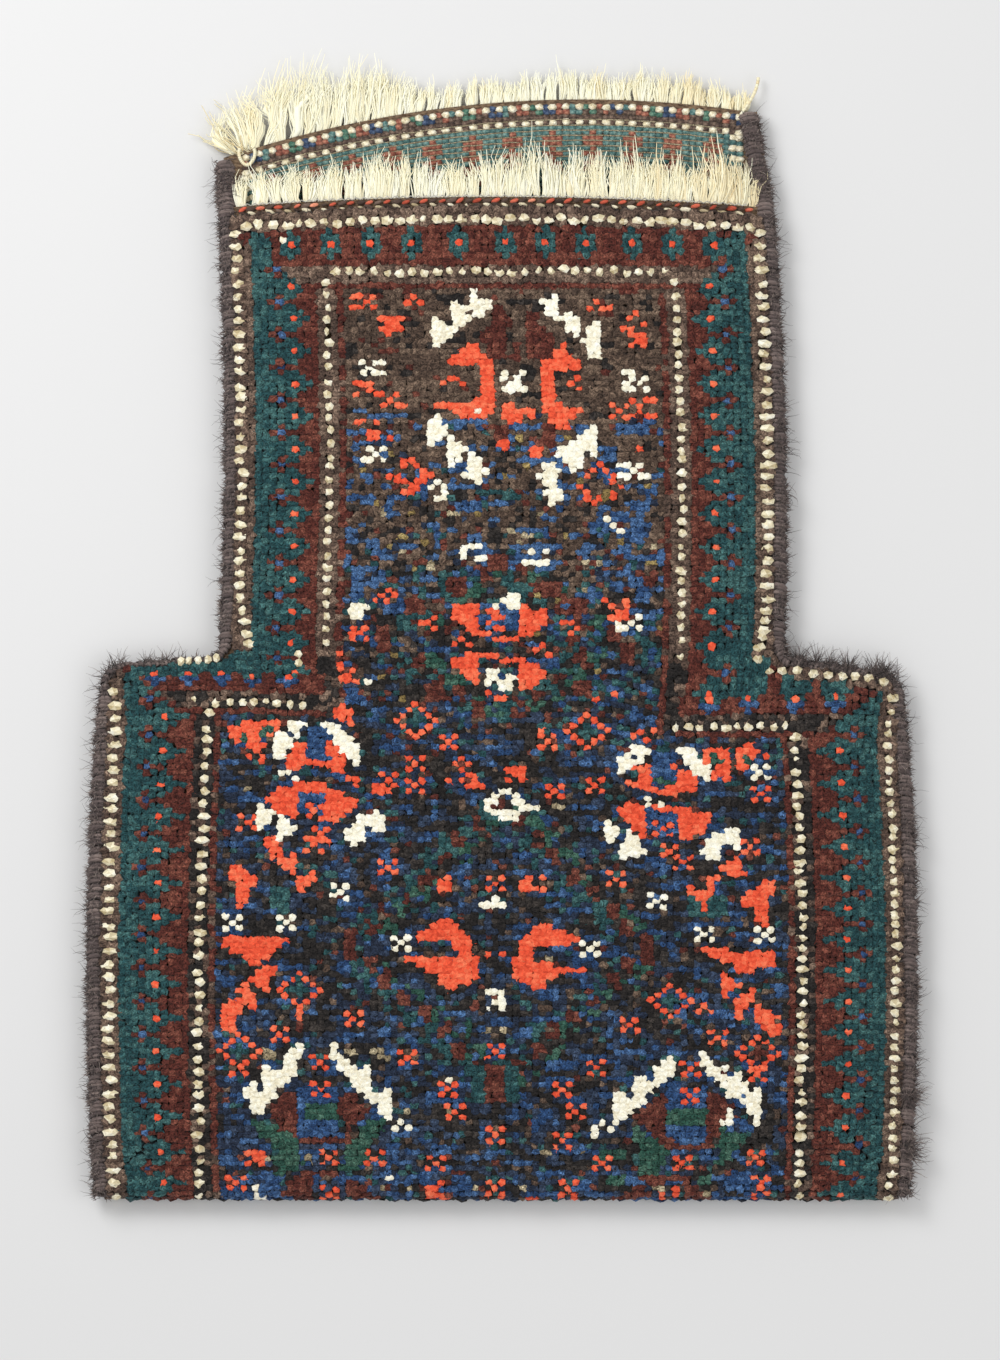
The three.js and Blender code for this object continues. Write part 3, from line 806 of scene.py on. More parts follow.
# Figures of the front by dye: blocks of knots, stepped figures, rings and small crosses
motifs = {
    "blocks": {
        "blue": [
            (-22, -21, 111, 115), (20, 21, 110, 112), (19, 20, 113, 114), (-22, -21, 145),
            (-20, -15, 144), (-9, -3, 143), (0, 5, 142), (7, 12, 142), (17, 21, 141, 142),
            (14, 14, 124, 126), (16, 17, 125, 126), (15, 16, 123, 124), (17, 18, 123), (-2, 2, 105, 109),
            (-29, -26, 80, 85), (-30, -27, 70, 73), (23, 26, 80, 84), (22, 26, 70, 73),
            (-30, -25, 12, 20), (25, 30, 11, 20), (-41, -32, 0, 1),
        ],
        "green": [
            (-29, -25, 15, 17), (25, 30, 14, 16), (15, 18, 8, 9), (16, 18, 3, 4), (30, 31, 3, 4),
            (-39, -39, 83, 84), (-36, -35, 85), (-36, 84), (32, 32, 83, 84), (33, 83), (37, 37, 83, 84),
            (23, 26, 79),
        ],
        "teal": [
            (21, 21, 100, 103), (-4, 1, 130), (0, 2, 129), (-4, -3, 18, 24), (1, 2, 18, 24),
            (-34, -32, 53, 56), (28, 33, 54, 57),
        ],
        "rust": [
            (-18, -17, 101, 105), (16, 17, 103, 104), (18, 19, 99, 102), (-1, 0, 160, 164),
            (-2, 0, 155, 160), (-3, -3, 158, 159), (4, 5, 159, 163), (4, 7, 155, 159), (-3, 0, 142),
            (-1, 0, 140, 141), (6, 7, 139, 142), (-8, -6, 112, 114), (-14, -12, 108, 110),
            (10, 12, 108, 110), (6, 8, 111, 113), (-2, 0, 116, 118), (-11, -9, 92, 94), (11, 13, 93, 95),
            (-23, -22, 44, 49), (21, 22, 44, 49), (-2, 0, 18, 24), (-30, -23, 11), (25, 31, 10),
            (-30, -25, 5), (21, 28, 4), (22, 24, 3),
        ],
        "fawn": [
            (-35, -34, 26, 27), (-23, -22, 27), (-19, -18, 27), (-18, -17, 26), (-14, 16), (-35, 8),
            (-29, 8), (12, 112), (-14, 2), (-4, 2), (-18, 2), (7, 44), (-2, 31), (0, 31), (-8, 16),
            (31, 1), (12, 9), (6, 7, 9), (-38, 74), (8, 9, 72), (23, 24, 2), (3, 2),
            (-18, -18, 126, 127), (-8, -7, 126), (-15, 119), (-11, -11, 116, 117), (1, 123), (3, 4, 122),
            (2, 121), (22, 120), (12, 117), (14, 117), (5, 126),
        ],
        "red": [
            (-22, -22, 103, 105), (-20, 103), (-20, 105), (-21, 104), (-19, 110), (-18, 111), (-17, 112),
            (-16, 111), (-17, 110), (-24, 100), (-24, -24, 97, 98), (-23, 96), (-24, -22, 95), (-22, 97),
            (15, 110), (16, 109), (18, 18, 109, 110), (17, 18, 107, 108), (16, 107), (0, 1, 146),
            (0, 2, 144, 145), (1, 2, 143), (4, 4, 144, 145), (3, 145), (-1, 0, 139), (0, 138),
            (4, 5, 137, 138), (-22, -21, 143), (-19, 143), (-20, -19, 140, 141), (-17, 140),
            (-8, -7, 151), (-9, 150), (-6, 150), (10, 150), (11, 151), (11, 149), (-2, -1, 108),
            (-1, 0, 107), (-2, 106), (-1, 0, 105), (-4, -2, 104), (-1, 2, 103), (3, 4, 104),
            (-5, -1, 100), (0, 3, 99), (-2, 93), (-22, 166), (-22, 164), (-18, -17, 162),
            (-16, -15, 162), (-17, -16, 161), (-16, -15, 160), (-18, -17, 160), (-17, 159), (-13, 166),
            (-14, 165), (-12, 165), (-22, -20, 150), (-20, 149), (-22, 148), (-19, 148), (-15, 146),
            (13, 164), (14, 165), (15, 16, 164), (20, 163), (19, 162), (21, 161), (18, 19, 160),
            (19, 20, 159), (21, 159), (20, 21, 158), (21, 157), (19, 157), (19, 147), (21, 22, 147),
            (20, 20, 145, 146), (19, 144), (21, 22, 144), (20, 138), (-15, -14, 136), (-13, 135),
            (-12, 134), (-12, -11, 133), (-13, -12, 132), (-13, 131), (-14, 131), (-15, -14, 130),
            (-15, 135), (-17, -16, 133), (-16, -15, 132), (14, 135), (13, 134), (12, 133), (15, 134),
            (16, 16, 132, 133), (17, 131), (11, 131), (12, 12, 129, 130), (13, 128), (14, 129),
            (16, 16, 129, 130), (-1, 0, 92), (-10, 107), (-12, -11, 106), (-10, 105), (9, 10, 106),
            (11, 105), (10, 104), (-6, 103), (-7, 102), (-5, 102), (5, 101), (6, 102), (7, 100),
            (14, 92), (17, 93), (-39, -38, 86), (-37, -34, 86), (-41, -37, 85), (-34, 85),
            (-41, -40, 84), (-38, -37, 84), (-35, 84), (-40, 83), (-38, -37, 83), (-38, -36, 82),
            (-37, 81), (-38, 80), (-36, -36, 79, 80), (-23, -22, 77), (-22, 76), (-6, 81), (-7, 80),
            (-5, 80), (-6, 79), (-5, 78), (-8, 77), (-6, 77), (-4, -4, 77, 78), (-5, -3, 76),
            (-18, -17, 75), (-19, -19, 75, 76), (6, 86), (1, 3, 79), (2, 3, 78), (1, 77), (3, 77),
            (20, 86), (22, 86), (21, 87), (23, 88), (31, 34, 85), (31, 31, 83, 84), (33, 34, 84),
            (34, 83), (33, 34, 82), (32, 34, 81), (32, 80), (34, 80), (37, 38, 86), (36, 39, 85),
            (36, 36, 83, 84), (38, 84), (40, 84), (36, 37, 82), (-30, -30, 33, 34), (-2, 45), (0, 45),
            (6, 59), (5, 6, 57), (29, 35), (30, 36), (31, 35), (-40, 23), (-38, 23), (-38, -36, 9),
            (-37, -36, 8), (-38, 7), (-36, 7), (-11, -10, 2), (-11, -9, 1), (-11, 0), (-9, -8, 0),
            (-9, 3), (0, 0), (38, 4), (40, 4), (39, 39, 2, 3), (38, 38, 0, 1), (40, 1), (11, 0),
            (24, 24, 0, 1), (26, 26, 1, 2), (4, 5, 0), (31, 59), (-31, 62), (22, 26, 74),
        ],
        "cream": [
            (-22, -21, 107, 109), (-20, 109), (-20, 95), (17, 106), (20, 107), (19, 106), (17, 18, 105),
            (20, 105), (0, 0, 151, 152), (3, 152), (2, 151), (1, 2, 150), (0, 3, 149), (-18, 154),
            (-18, 152), (18, 19, 152), (21, 151), (19, 151), (20, 150), (18, 150), (18, 19, 149),
            (21, 149), (17, 18, 135), (20, 135), (19, 134), (17, 18, 133), (20, 21, 133), (-21, 136),
            (-4, 145), (-6, -4, 120), (-6, -6, 118, 119), (-4, -3, 118), (3, 6, 117), (4, 119), (6, 119),
            (-10, 132), (-9, -9, 130, 131), (-11, 131), (-10, -9, 129), (13, 142), (1, 2, 111),
            (0, 2, 110), (-1, 109), (1, 2, 109), (-2, -1, 97), (-2, -1, 96), (1, 2, 96), (-2, 95),
            (0, 1, 95), (0, 1, 94), (15, 125), (16, 124), (17, 123), (0, 1, 75), (-1, 74), (2, 74),
            (-2, -1, 73), (2, 3, 73), (-2, 72), (3, 5, 72), (-1, 2, 71), (0, 2, 70), (-33, -32, 77),
            (-31, 76), (22, 75), (22, 74), (24, 75), (-3, -2, 54), (-1, 0, 54), (-1, 55), (-2, -1, 38),
            (0, 0, 37, 38), (-2, 35), (-1, 0, 36), (0, 35), (-15, 14), (-16, 13), (-14, 13), (15, 14),
            (14, 14, 12, 13), (16, 13), (-37, -37, 0, 2), (-36, 0), (-17, 4), (-8, 22), (34, 34, 14, 16),
            (33, 14),
        ],
    },
    "steps": {
        "red": [
            (157, (-5, -6, -7, -8, -3, -3, -3, -3, -3, -3, -4, -10, -7, -6),
             (-4, -4, -3, -2, -2, -2, -2, -2, -2, -2, -2, -2, -2, -3)),
            (157, (9, 8, 8, 6, 6, 6, 6, 6, 6, 6, 6, 6, 6, 7, 7, 8),
             (9, 9, 10, 11, 11, 7, 7, 7, 7, 7, 7, 8, 11, 10, 9, 9)),
            (109, (-7, -7, -7, -6, -5), -4),
            (109, 3, (3, 6, 6, 6, 5, 4)),
            (99, (-7, -7, -6, -5, -4), -4),
            (98, 3, (5, 6, 6, 5, 4)),
            (90, (-24, -25, -25, -23), (-24, -23, -23, -23)),
            (82, (-31, -31, -32, -32, -32), (-30, -30, -30, -25, -31)),
            (83, (-26, -26, -26, -25, -25, -25), (-26, -25, -24, -24, -24, -24)),
            (75, (-31, -33, -34, -35, -34, -33, -31), (-27, -24, -31, -31, -31, -31, -31)),
            (73, -26, (-22, -22, -23, -24, -25)),
            (81, (22, 20, 21, 21, 19), (22, 22, 22, 22, 26)),
            (82, (26, 27, 27, 27, 25), (26, 28, 29, 29, 29)),
            (73, (19, 18, 18, 19, 20, 21), 21),
            (74, 27, (28, 31, 31, 30, 30, 28)),
            (65, (-35, -35, -34, -34, -33, -32, -31), (-34, -34, -33, -33, -31, -31, -31)),
            (65, (35, 34, 33, 34, 31, 31), (35, 35, 35, 36, 32, 31)),
            (60, (-40, -40, -40, -39, -39, -39, -39, -39), (-39, -38, -37, -37, -38, -38, -38, -39)),
            (60, (39, 38, 37, 36, 36, 38, 38, 38, 39), (40, 40, 40, 39, 39, 39, 39, 39, 39)),
            (59, (-28, -30, -30, -30), (-28, -28, -29, -30)),
            (59, (28, 28, 29, 30, 30), (28, 31, 30, 30, 30)),
            (59, (-8, -9, -9), -8),
            (59, (4, 3, 3), 4),
            (47, (-41, -41, -40, -38, -37), (-32, -33, -34, -35, -36)),
            (42, (-35, -36, -37, -36, -35), (-34, -34, -35, -35, -35)),
            (39, (-38, -39, -38, -38, -37), (-38, -38, -37, -37, -37)),
            (36, (-40, -41, -41, -41, -41, -41), (-39, -39, -39, -40, -40, -40)),
            (47, (30, 31, 33, 35, 35), (33, 40, 40, 40, 37)),
            (42, 33, (33, 34, 35, 34, 33)),
            (39, (37, 36, 35, 35, 35, 35), (37, 37, 37, 36, 35, 35)),
            (36, (38, 38, 38, 38, 39, 40), (38, 39, 41, 40, 41, 41)),
            (51, (-9, -10, -12, -12, -7, -7, -6, -14, -12, -11, -9, -9, -8),
             (-8, -7, -6, -5, -5, -5, -5, -4, -4, -4, -4, -5, -7)),
            (50, (5, 5, 4, 3, 3, 3, 2, 2, 2, 2, 3, 5), (7, 9, 11, 10, 4, 4, 4, 7, 12, 8, 6, 6)),
        ],
        "cream": [
            (162, -10, (-10, -9, -8, -8, -9, -10)),
            (165, -7, (-7, -5, -6, -5, -6, -7)),
            (167, -4, (-4, -4, -2, -2, -3)),
            (166, (8, 6, 7, 7, 8), (8, 8, 8, 8, 9)),
            (163, (10, 9, 10, 10, 11), (10, 11, 11, 11, 11)),
            (161, (14, 13, 13, 12, 13, 13, 13), 14),
            (144, (-10, -11, -11, -11, -11, -11), (-10, -10, -9, -9, -10, -11)),
            (140, -8, (-8, -7, -6, -7, -7, -8)),
            (137, (-5, -5, -5, -5, -6, -4), (-5, -4, -4, -3, -4, -4)),
            (141, (12, 11, 12, 12, 13), 13),
            (139, (10, 8, 8, 9, 10, 10), (11, 11, 11, 11, 11, 10)),
            (135, (6, 6, 5, 6, 7, 6, 7, 7), (7, 8, 7, 7, 7, 8, 8, 7)),
            (86, (-32, -32, -31), (-30, -31, -31)),
            (84, -34, (-33, -32, -32, -33, -33)),
            (86, (-27, -26, -25, -25), (-25, -24, -24, -24)),
            (84, (-23, -24, -24, -23, -22), (-23, -22, -22, -22, -22)),
            (71, -36, (-36, -34, -35, -35, -36)),
            (69, -33, (-33, -32, -31, -32, -33)),
            (71, (-19, -21, -20, -19), (-19, -18, -18, -18)),
            (69, (-21, -22, -23, -23, -22), (-21, -21, -21, -21, -22)),
            (84, (20, 20, 21), (22, 21, 21)),
            (82, (19, 18, 18, 18), (19, 20, 19, 18)),
            (85, (27, 28, 28, 29, 29, 31), (29, 29, 30, 31, 31, 31)),
            (69, 16, (16, 17, 17, 16)),
            (68, (19, 19, 19, 18, 18, 18), (19, 20, 20, 21, 20, 18)),
            (70, (34, 32, 33, 35), 35),
            (68, (31, 31, 30, 31), 32),
            (28, (-30, -31, -32, -32, -32, -33, -33, -33), (-30, -30, -30, -31, -31, -31, -32, -33)),
            (24, -35, (-35, -34, -32, -33, -34, -34, -35)),
            (21, (-37, -38, -38, -37, -37, -37), (-37, -37, -36, -35, -36, -36)),
            (28, (-25, -25, -25, -24, -24, -23, -22), (-25, -25, -24, -23, -22, -22, -22)),
            (24, (-20, -21, -22, -22, -21), -20),
            (20, (-17, -20, -19, -18, -18, -17), -17),
            (26, (25, 24, 23, 23, 23, 23), (25, 25, 25, 25, 24, 23)),
            (22, (20, 20, 20, 20, 19, 19), (21, 22, 22, 21, 21, 20)),
            (19, 17, (18, 18, 19, 19, 18, 17)),
            (27, (30, 30, 30, 31, 31, 32), (30, 30, 31, 33, 32, 33)),
            (23, (35, 34, 33, 34, 34), (35, 35, 36, 36, 35)),
            (20, (38, 37, 36, 37, 37, 38, 38), 38),
        ],
        "rust": [
            (19, (-32, -33, -34, -34, -34, -33, -33, -32), -31),
            (19, (-23, -24, -24, -24, -23, -23, -23, -23), (-22, -22, -21, -20, -21, -22, -23, -23)),
            (19, (24, 23, 22, 21, 20, 21, 22, 23, 24), (24, 24, 24, 24, 24, 24, 24, 24, 25)),
            (19, 31, (31, 33, 34, 34, 35, 33, 32, 32, 31)),
            (4, (-31, -32, -32, -33, -31), -29),
            (3, (-23, -23, -23, -22), (-22, -21, -20, -19)),
            (2, (20, 19, 17), (21, 22, 20)),
            (3, 28, (28, 29, 30, 31)),
        ],
        "green": [
            (14, (-37, -36, -36, -34, -34, -33, -34, -34, -33, -34),
             (-36, -34, -32, -31, -31, -31, -31, -30, -31, -33)),
            (14, (-20, -21, -21, -22, -23, -23, -23, -23, -24),
             (-18, -18, -19, -20, -20, -21, -20, -21, -22)),
            (13, (20, 20, 20, 21, 21, 21, 21, 21, 21), (20, 21, 23, 24, 25, 24, 24, 23, 23)),
            (13, (33, 33, 33, 32, 33, 33, 32), (33, 36, 36, 35, 34, 34, 33)),
        ],
    },
    "rings": [
        ("red", "teal", -13, 88), ("red", "teal", 13, 86), ("red", "teal", -30, 38),
        ("red", "teal", 25, 37), ("red", "teal", -39, 27), ("red", "rust", 38, 27),
    ],
    "saltires": {
        "red": [
            (-20, 165), (-17, 147), (17, 145), (-28, 70), (24, 70), (-38, 68), (-27, 66), (-28, 64),
            (39, 77), (37, 67), (25, 66), (27, 64), (-8, 84), (-13, 80), (-13, 76), (-17, 77), (7, 84),
            (8, 75), (14, 76), (-17, 61), (17, 59), (-1, 58), (-27, 25), (-27, 20), (28, 24), (28, 19),
            (-14, 26), (-1, 27), (14, 24), (-8, 20), (9, 20), (-7, 16), (11, 16), (-1, 12), (9, 11),
            (-26, 8), (-19, 8), (-10, 7), (15, 7), (27, 7), (38, 8), (-40, 3), (-26, 1), (-1, 2),
            (10, 2), (-33, 30), (32, 30), (19, 32), (-22, 33), (38, 23),
        ],
        "cream": [
            (-20, 153), (-19, 137), (39, 81), (-40, 50), (-32, 50), (-24, 56), (30, 50), (39, 50),
            (23, 56), (-15, 47), (13, 46),
        ],
    },
}


# Field and borders of one face
def drawCloth(back):
    plan = mottledField(weave["rows"][back])
    for place in lozenges["places"]:
        setLozenge(plan, *place)
    bordersOf(plan, weave["topRow"][back])
    return plan


def setBlocks(plan, *names):
    for dye in names:
        for block in motifs["blocks"][dye]:
            setKnots(plan, dye, *block)


# Figures of the front, in the order that they lie over each other
def drawMotifs(plan):
    setBlocks(plan, "blue", "green", "teal", "rust", "fawn")
    for dye, stepped in motifs["steps"].items():
        for steps in stepped:
            setSteps(plan, dye, *steps)
    setBlocks(plan, "red")
    for ring in motifs["rings"]:
        setRing(plan, *ring)
    setBlocks(plan, "cream")
    for dye, places in motifs["saltires"].items():
        for place in places:
            setSaltire(plan, dye, *place)


frontPlan = drawCloth(False)
drawMotifs(frontPlan)
backPlan = drawCloth(True)
print("stage: pattern drawn")

# Ground cloth: one length, folded across the bottom, with the pocket open between its layers
groundCloth = {
    "across": 48,
    "bodyRows": (9, 234, 42),
    "shoulderRows": (240, 246, 250, 253, 255.5, 257.3, 258.6, 260, 262, 265, 270),
    "neckRows": (275, 476, 38),
    "flapRows": (484, 492, 500),
    "foldTurns": (90, -90, 9),
    "risesFrom": 400 * mm,
    "flat": (0.39, 1.01),
    "area": 0.325,
    "finish": {"Roughness": 0.9, "Specular IOR Level": 0.1},
    "shades": [(66, 50, 42), (140, 118, 94)],
    "shadeSpan": (0.3, 0.7),
    "grain": (500, 1300, 500),
}


# Down the front from the mouth, round the fold and up the back to the flap's end
def groundPlaces():
    g = groundCloth
    up = np.concatenate([np.linspace(*g["bodyRows"]), g["shoulderRows"], np.linspace(*g["neckRows"])]) * mm
    flapUp = np.array(g["flapRows"]) * mm
    places = []
    for y in up[::-1]:
        x = rowAcross(y)
        rise = smoothStep(y, g["risesFrom"], outline["mouthY"]) * (mouthEdge(x) - outline["mouthY"])
        places.append((x, y + rise, frontLevel(x, np.full_like(x, y))))
    middle = layers["foldMiddle"]
    radius = layers["foldRadius"]
    for turn in np.radians(np.linspace(*g["foldTurns"])):
        places.append((rowAcross(middle), middle - radius * math.cos(turn), middle + radius * math.sin(turn)))
    for y in np.concatenate([up, flapUp]):
        x = rowAcross(y)
        rise = smoothStep(y, g["risesFrom"], flapUp[-1]) * (flapEdge(x) - sidePaths[-1][-1][1])
        places.append((x, y + rise, layers["backGround"]))
    return np.concatenate([np.stack(np.broadcast_arrays(*place), 1) for place in places])


def rowAcross(y):
    return np.linspace(edgeX(-1, y), edgeX(1, y), groundCloth["across"] + 1)


def makeGround():
    places = groundPlaces()
    places[:, 1] += outline["foldY"]
    across = groundCloth["across"]
    rows = len(places) // (across + 1)
    bm = bmesh.new()
    bmesh.ops.create_grid(bm, x_segments=across, y_segments=rows - 1, size=1)
    bm.verts.ensure_lookup_table()
    order = sorted(bm.verts, key=lambda vert: (round(-vert.co.y, 6), round(vert.co.x, 6)))
    for vert, place in zip(order, places):
        vert.co = place
    bmesh.ops.recalc_face_normals(bm, faces=bm.faces)
    bmesh.ops.solidify(bm, geom=bm.faces[:], thickness=layers["groundThickness"])
    bmesh.ops.recalc_face_normals(bm, faces=bm.faces)
    mesh = bpy.data.meshes.new("ground_cloth")
    bm.to_mesh(mesh)
    bm.free()
    return addObject("ground_cloth", mesh)


def wovenGround():
    material, nodes, links = newMaterial("woven_ground", groundCloth["finish"])
    place = nodes.new("ShaderNodeTexCoord")
    stretch = nodes.new("ShaderNodeMapping")
    setInputs(stretch, {"Scale": groundCloth["grain"]})
    grain = nodes.new("ShaderNodeTexNoise")
    setInputs(grain, {"Scale": 1})
    ramp = nodes.new("ShaderNodeValToRGB")
    setShades(ramp, groundCloth["shades"], *groundCloth["shadeSpan"])
    links.new(place.outputs["Object"], stretch.inputs["Vector"])
    links.new(stretch.outputs["Vector"], grain.inputs["Vector"])
    links.new(grain.outputs["Fac"], ramp.inputs["Fac"])
    links.new(ramp.outputs["Color"], nodes["Principled BSDF"].inputs["Base Color"])
    return material


ground = makeGround()
ground.data.materials.append(wovenGround())
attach(ground, body)
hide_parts("pile_cloth")
print("stage: ground cloth made")

# Pale dots on the guards: those along the lines above, and those that stand by themselves
dots = {
    "sides": 6,
    "shades": [(190, 172, 130), (242, 232, 200), (255, 252, 236)],
    "size": (2.3 * mm, 2.2 * mm, 5.5 * mm),
    "scatter": 0.65,
    "tone": (0.45, 0.14),
    "room": 1.8 * mm,
    "leastWide": 0.9,
    "edgeRoom": 0.6 * mm,
    "ridge": (254 * mm, 266 * mm),
    "right": (
        (128, 253), (134, 253), (141.3, 253), (149, 251.2), (156, 250.6),
        (162.7, 250), (169, 249.8), (175.8, 249), (182, 248.2), (186.6, 246.6),
    ),
    "rightWide": 1.1,
    "left": (-154, -150, -145.5, -141, -137),
    "leftRise": 1.6 * mm,
    "leftWide": 0.8,
    "odd": ((-115.4, 466.6), (-104.6, 460.3), (-147.4, 239), (-97.6, 261.6), (-97.6, 257.3)),
    "oddWide": 0.95,
}
dotWool = dyedWool("dot_wool", dots["shades"], streak=0.2, rootPaintedShade=0.75)


def dotSpotsOf(back):
    column, row, wide = dotPlaces(weave["topRow"][back] + 1).T
    rightX, rightY = np.array(dots["right"]).T * mm
    found = [
        (*lieOfKnots(column, row - 0.5, back), wide),
        (rightX, rightY, np.full_like(rightX, dots["rightWide"])),
    ]
    if not back:
        leftX = np.array(dots["left"]) * mm
        oddX, oddY = np.array(dots["odd"]).T * mm
        found.append((leftX, shoulderY(-1, leftX) + dots["leftRise"], np.full_like(leftX, dots["leftWide"])))
        found.append((oddX, oddY, np.full_like(oddX, dots["oddWide"])))
    x, y, wide = (np.concatenate(parts) for parts in zip(*found))
    low, high = dots["ridge"]
    keep = onCloth(x, y, back, dots["edgeRoom"]) | ((y > low) & (y < high))
    return x[keep], y[keep], wide[keep]


dotSpots = {back: dotSpotsOf(back) for back in (False, True)}


def growDots(back):
    shape = tuftShape(dots["sides"], fibres=0)
    x, y, wide = dotSpots[back]
    frames = clothFrames(x, y, back)
    points = growTufts(shape, frames, dots["size"], pile["lean"], dots["scatter"], wide)
    if back:
        keepAbove(points, 0)
    level, spread = dots["tone"]
    label = "back_dots" if back else "front_dots"
    piece(label, shape, points, level + mixed(len(x), spread), dotWool, False)


# The pile, one piece to each dye on each face
pile = {
    "frontSides": 5,
    "backSides": 4,
    "creamSides": 7,
    "fibres": 2,
    "knotSize": (2.45 * mm, 2.1 * mm, layers["pileDepth"]),
    "stray": (0.27 * mm, 0.24 * mm),
    "lowest": 0.2 * mm,
    "lean": 1.1 * mm,
    "brightShoulder": 0.88,
    "brightDome": 0.14,
    "brightSwell": (0.86, 0.055),
    "brightScatter": 0.7,
    "brightTone": (0.46, 0.14),
    "dullTone": (0.4, 0.28),
    "backEvery": 2,
    "backSwell": 1.5,
    "backTall": 1.13,
    "toneUp": {"red": (-0.34, 444 * mm, 450 * mm), "blue": (0.3, 265 * mm, 305 * mm)},
    "shoulderTop": 262 * mm,
    "rightGuard": (127 * mm, 7 * mm),
    "leftTeal": (-177 * mm, -136 * mm, 5.4 * mm, 0.9),
}
brightDyes = ("cream", "red")
woolOf = {}
for name, shades in dyes.items():
    # Bright wools get less painted shade at their roots than dull ones
    streak, rootPaintedShade = (0.2, 0.8) if name in brightDyes else (1.0, 0.55)
    woolOf[name] = dyedWool(name + "_wool", shades, streak, rootPaintedShade)


# The shoulders have an outer guard on the right, and teal up to their edge on the left
def shoulderDye(x, y, dye):
    below = y < pile["shoulderTop"]
    start, depth = pile["rightGuard"]
    dye = np.where((x > start) & (y > shoulderY(1, x) - depth) & below, dyeIndex["guard"], dye)
    start, end, depth, share = pile["leftTeal"]
    onLeft = (x < end) & (x > start) & (y > shoulderY(-1, x) - depth) & below
    dull = np.isin(dye, [dyeIndex[name] for name in ("rust", "guard", "dark")])
    return np.where(onLeft & dull & (rng.random(len(x)) < share), dyeIndex["teal"], dye)


def knotPlaces(plan, back):
    row, column = np.nonzero(plan >= 0)
    dye = plan[row, column]
    column = column - weave["half"]
    x, y = lieOfKnots(column.astype(float), row.astype(float), back)
    x = x + mixed(len(x), pile["stray"][0])
    y = np.maximum(y + mixed(len(y), pile["stray"][1]), pile["lowest"])
    dye = shoulderDye(x, y, dye)
    keep = onCloth(x, y, back)
    if back:
        keep &= (column + row) % pile["backEvery"] == 0
    for dotX, dotY, wide in zip(*dotSpots[back]):
        keep &= np.hypot((x - dotX) / max(wide, dots["leastWide"]), y - dotY) > dots["room"]
    return x[keep], y[keep], dye[keep], row[keep], column[keep]


# How many of its four neighbours share a knot's dye
def likeNeighbours(plan):
    alike = np.zeros(plan.shape)
    for shift, axis in ((1, 0), (-1, 0), (1, 1), (-1, 1)):
        alike += np.roll(plan, shift, axis) == plan
    return alike


# The dye's tone changes in bands along the rows, and is paler up the neck's right side and at its top
abrash = {
    "band": (0.1, 0.23),
    "bandWave": (0.7, 0.11),
    "fineBand": (0.06, 1.9),
    "rightPaler": 0.1,
    "rightX": (80 * mm, 110 * mm),
    "rightY": (250 * mm, 300 * mm),
    "topPaler": 0.08,
    "topY": (430 * mm, 450 * mm),
}


def abrashOf(x, y, row, column):
    strength, often = abrash["band"]
    wave, waveOften = abrash["bandWave"]
    tones = strength * np.sin(row * often + wave * np.sin(column * waveOften))
    strength, often = abrash["fineBand"]
    tones += strength * np.sin(row * often)
    tones += abrash["rightPaler"] * smoothStep(x, *abrash["rightX"]) * smoothStep(y, *abrash["rightY"])
    return tones + abrash["topPaler"] * smoothStep(y, *abrash["topY"])


# Knots are deeper where their rows lie further apart, at the right shoulder and the top
slack = {
    "rightDeeper": 0.32,
    "rightX": (60 * mm, 90 * mm),
    "rightStart": (232 * mm, 246 * mm),
    "rightEnd": (262 * mm, 276 * mm),
    "topDeeper": 0.18,
    "topY": (442 * mm, 450 * mm),
}


def roomOf(x, y):
    slackRows = smoothStep(y, *slack["rightStart"]) * (1 - smoothStep(y, *slack["rightEnd"]))
    right = slack["rightDeeper"] * slackRows * smoothStep(x, *slack["rightX"])
    return 1 + right + slack["topDeeper"] * smoothStep(y, *slack["topY"])


def knotShapes(back):
    if back:
        return dict.fromkeys(dyeNames, tuftShape(pile["backSides"], fibres=0))
    shapes = dict.fromkeys(dyeNames, tuftShape(pile["frontSides"], pile["fibres"]))
    shapes["cream"] = tuftShape(pile["creamSides"], 0, pile["brightShoulder"], pile["brightDome"])
    shapes["red"] = tuftShape(pile["frontSides"], pile["fibres"], pile["brightShoulder"], pile["brightDome"])
    return shapes


def growPile(plan, back):
    label = "back" if back else "front"
    shapes = knotShapes(back)
    x, y, dye, row, column = knotPlaces(plan, back)
    bands = abrashOf(x, y, row, column)
    room = roomOf(x, y)
    alike = likeNeighbours(plan)[row, column + weave["half"]]
    wide, deep, tall = pile["knotSize"]
    for number, name in enumerate(dyeNames):
        chosen = dye == number
        if not chosen.any():
            continue
        bright = name in brightDyes
        swell = np.full(chosen.sum(), pile["backSwell"] if back else 1)
        if bright and not back:
            swell = pile["brightSwell"][0] + pile["brightSwell"][1] * alike[chosen]
        size = (wide * swell, deep * swell * room[chosen], tall * (pile["backTall"] if back else 1))
        frames = clothFrames(x[chosen], y[chosen], back)
        points = growTufts(shapes[name], frames, size, pile["lean"], pile["brightScatter"] if bright else 1)
        if back:
            keepAbove(points, 0)
        level, spread = pile["brightTone"] if bright else pile["dullTone"]
        tones = level + bands[chosen] + mixed(chosen.sum(), spread)
        if name in pile["toneUp"]:
            change, low, high = pile["toneUp"][name]
            tones += change * smoothStep(y[chosen], low, high)
        piece(f"{label}_pile_{name}", shapes[name], points, tones, woolOf[name], False)
    print("stage:", label, "pile of", len(x), "knots")


growPile(frontPlan, False)
growPile(backPlan, True)
growDots(False)
growDots(True)

